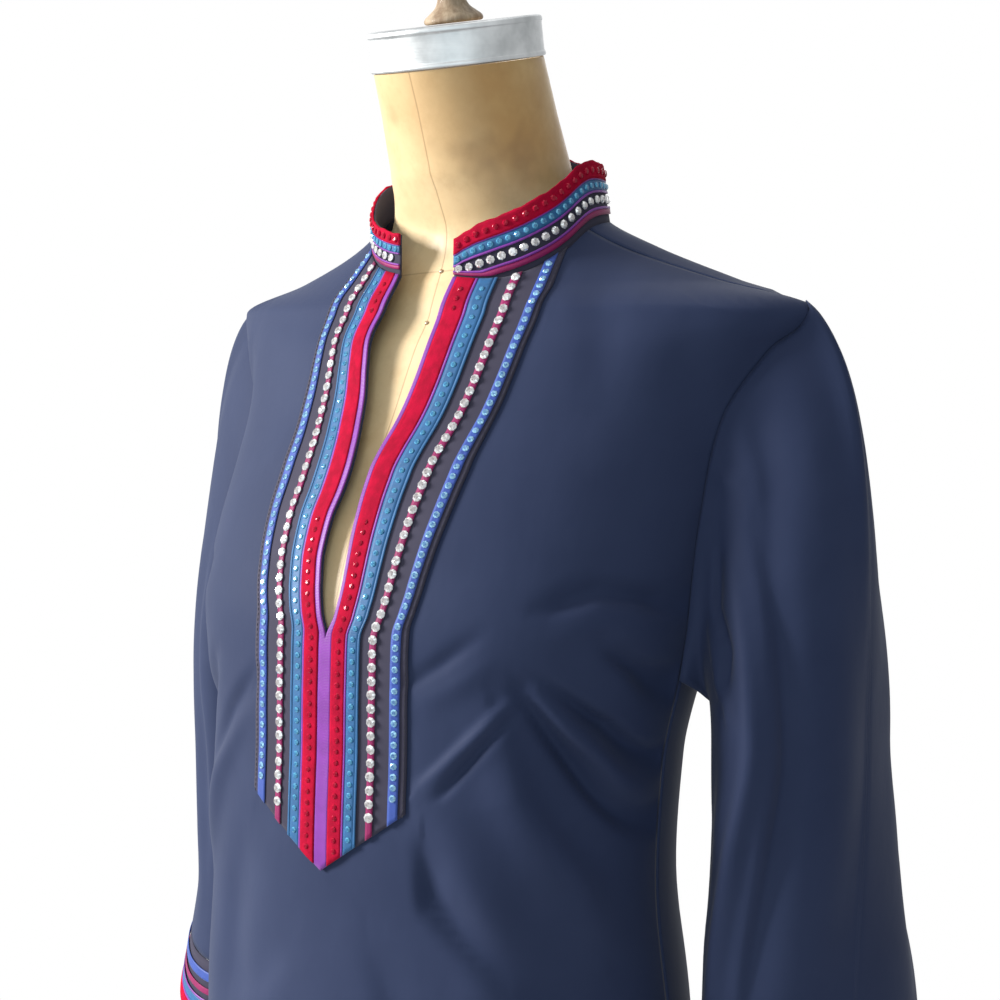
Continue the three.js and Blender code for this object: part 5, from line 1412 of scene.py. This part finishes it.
def turned(name, profile, sides, lay=lambda points: points):
    """A profile turned about the upright axis; a profile that starts and ends on the axis closes itself."""
    spin = 2 * np.pi * np.arange(sides) / sides
    radius, height = profile[:, :1], profile[:, 1:]
    grid = lay(joined(radius * np.sin(spin), -radius * np.cos(spin), height))
    flat_uv = np.zeros((grid.shape[0] * sides, 2))
    points, faces, _ = welded(grid.reshape(-1, 3), sheet_faces(*grid.shape[:2], ring=True), flat_uv)
    piece = mesh_piece(name, points, faces)
    shell = bmesh.new()
    shell.from_mesh(piece.data)
    bmesh.ops.dissolve_degenerate(shell, dist=1e-6, edges=shell.edges)
    bmesh.ops.recalc_face_normals(shell, faces=shell.faces)
    shell.to_mesh(piece.data)
    shell.free()
    return piece


METAL_DARK, METAL_LIGHT = (0.39, 0.41, 0.42), (0.66, 0.68, 0.69)
metal = Finish("brushed metal", Metallic=1.0, Anisotropic=0.4)
lines = metal.noise(60.0, 4.0, 0.7, stretch=(0.4, 0.4, 24))
smudge = metal.noise(26.0, 4.0, 0.6)
metal.feed("Base Color", mixed(metal.tree, smudge.step(0.3, 0.7), METAL_DARK, METAL_LIGHT))
metal.feed("Roughness", lines * 0.22 + smudge * 0.2 + 0.26)
metal.bump(lines, 0.25, 0.0002)
bead = CAP_RADIUS + 0.5
band = bead - 0.7
cap_profile = [(0, 0), (CAP_RADIUS - 2, 0), (bead, 0.4), (bead, 2.6), (band, 3.4), (band, 20.6), (bead, 21.4),
               (bead - 0.4, CAP_HEIGHT - 0.9), (CAP_RADIUS - 3, CAP_HEIGHT), (0, CAP_HEIGHT)]
form_cap = turned("form_cap_metal", rounded_profile(cap_profile, 1.0), 128, on_neck)
finished(form_cap, metal, "cap_metal", "form_cap")

WOOD_DARK, WOOD_LIGHT, WOOD_DIRT = (0.25, 0.155, 0.085), (0.56, 0.44, 0.31), (0.12, 0.085, 0.06)
FINIAL = [
    # radius, height above the cap
    (0, 0), (17.4, 0), (18.4, 1.6), (17.8, 3.6), (14, 6.6), (10.6, 9.4), (8.8, 13), (8, 17.5),
    (10.2, 19.5), (9.4, 21.6), (13, 25), (16, 30), (17, 36), (16.7, 42), (15.4, 48), (12.4, 53),
    (8.5, 56.4), (4, 58.4), (0, 59)]
old_wood = Finish("weathered wood", Coat_Weight=0.1)
grain = old_wood.noise(38.0, 5.0, 0.65, stretch=(3.2, 3.2, 0.35))
dirt = old_wood.noise(120.0, 3.0, 0.6)
wood_base = mixed(old_wood.tree, grain.step(0.32, 0.68), WOOD_DARK, WOOD_LIGHT)
old_wood.feed("Base Color", mixed(old_wood.tree, dirt.step(0.45, 0.8) * 0.5, wood_base, WOOD_DIRT))
old_wood.feed("Roughness", grain * 0.2 + 0.55)
old_wood.bump(grain * 0.7 + dirt * 0.3, 0.5, 0.0008)
finial_profile = rounded_profile([(radius, height + CAP_HEIGHT + SEAM) for radius, height in FINIAL], 1.6)
form_finial = turned("form_finial_wood", finial_profile, 64, on_neck)
finished(form_finial, old_wood, "finial_wood", "form_finial")

# ---- stand ----------------------------------------------------------------------------------------
# A painted steel pole from the body's foot into a round cast-iron base with a raised hub.
POLE_RADIUS, POLE_TOP, HUB_TOP = 13, 721.7, 58
PAINT_DARK, PAINT_LIGHT = (0.030, 0.030, 0.033), (0.085, 0.082, 0.080)
painted = Finish("painted steel", Metallic=0.6)
wear = painted.noise(34.0, 4.0, 0.6)
painted.feed("Base Color", mixed(painted.tree, wear.step(0.4, 0.8), PAINT_DARK, PAINT_LIGHT))
painted.feed("Roughness", wear * 0.25 + 0.35)
painted.bump(painted.noise(300.0, 2.0, 0.5), 0.15, 0.0002)
pole_foot = HUB_TOP + SEAM
pole_profile = [(0, pole_foot), (POLE_RADIUS, pole_foot), (POLE_RADIUS, POLE_TOP), (0, POLE_TOP)]
form_pole = turned("form_pole_steel", rounded_profile(pole_profile, 0.6), 48)
finished(form_pole, painted, "stand_pole", "form_pole")

IRON_DARK, IRON_LIGHT = (0.018, 0.018, 0.020), (0.048, 0.046, 0.045)
BASE_PROFILE = [
    # radius, height
    (0, 0), (215, 0), (215, 10), (209, 14), (120, 22), (60, 31), (30, 38), (26, 55), (22, HUB_TOP),
    (0, HUB_TOP)]
iron = Finish("cast iron", Metallic=0.5)
sand = iron.noise(260.0, 3.0, 0.6)
rub = iron.noise(12.0, 4.0, 0.6)
iron.feed("Base Color", mixed(iron.tree, rub.step(0.4, 0.75), IRON_DARK, IRON_LIGHT))
iron.feed("Roughness", sand * 0.2 + 0.45)
iron.bump(sand, 0.5, 0.0005)
form_base = turned("form_base_iron", rounded_profile(BASE_PROFILE, 3.0), 128)
finished(form_base, iron, "stand_iron", "form_base")
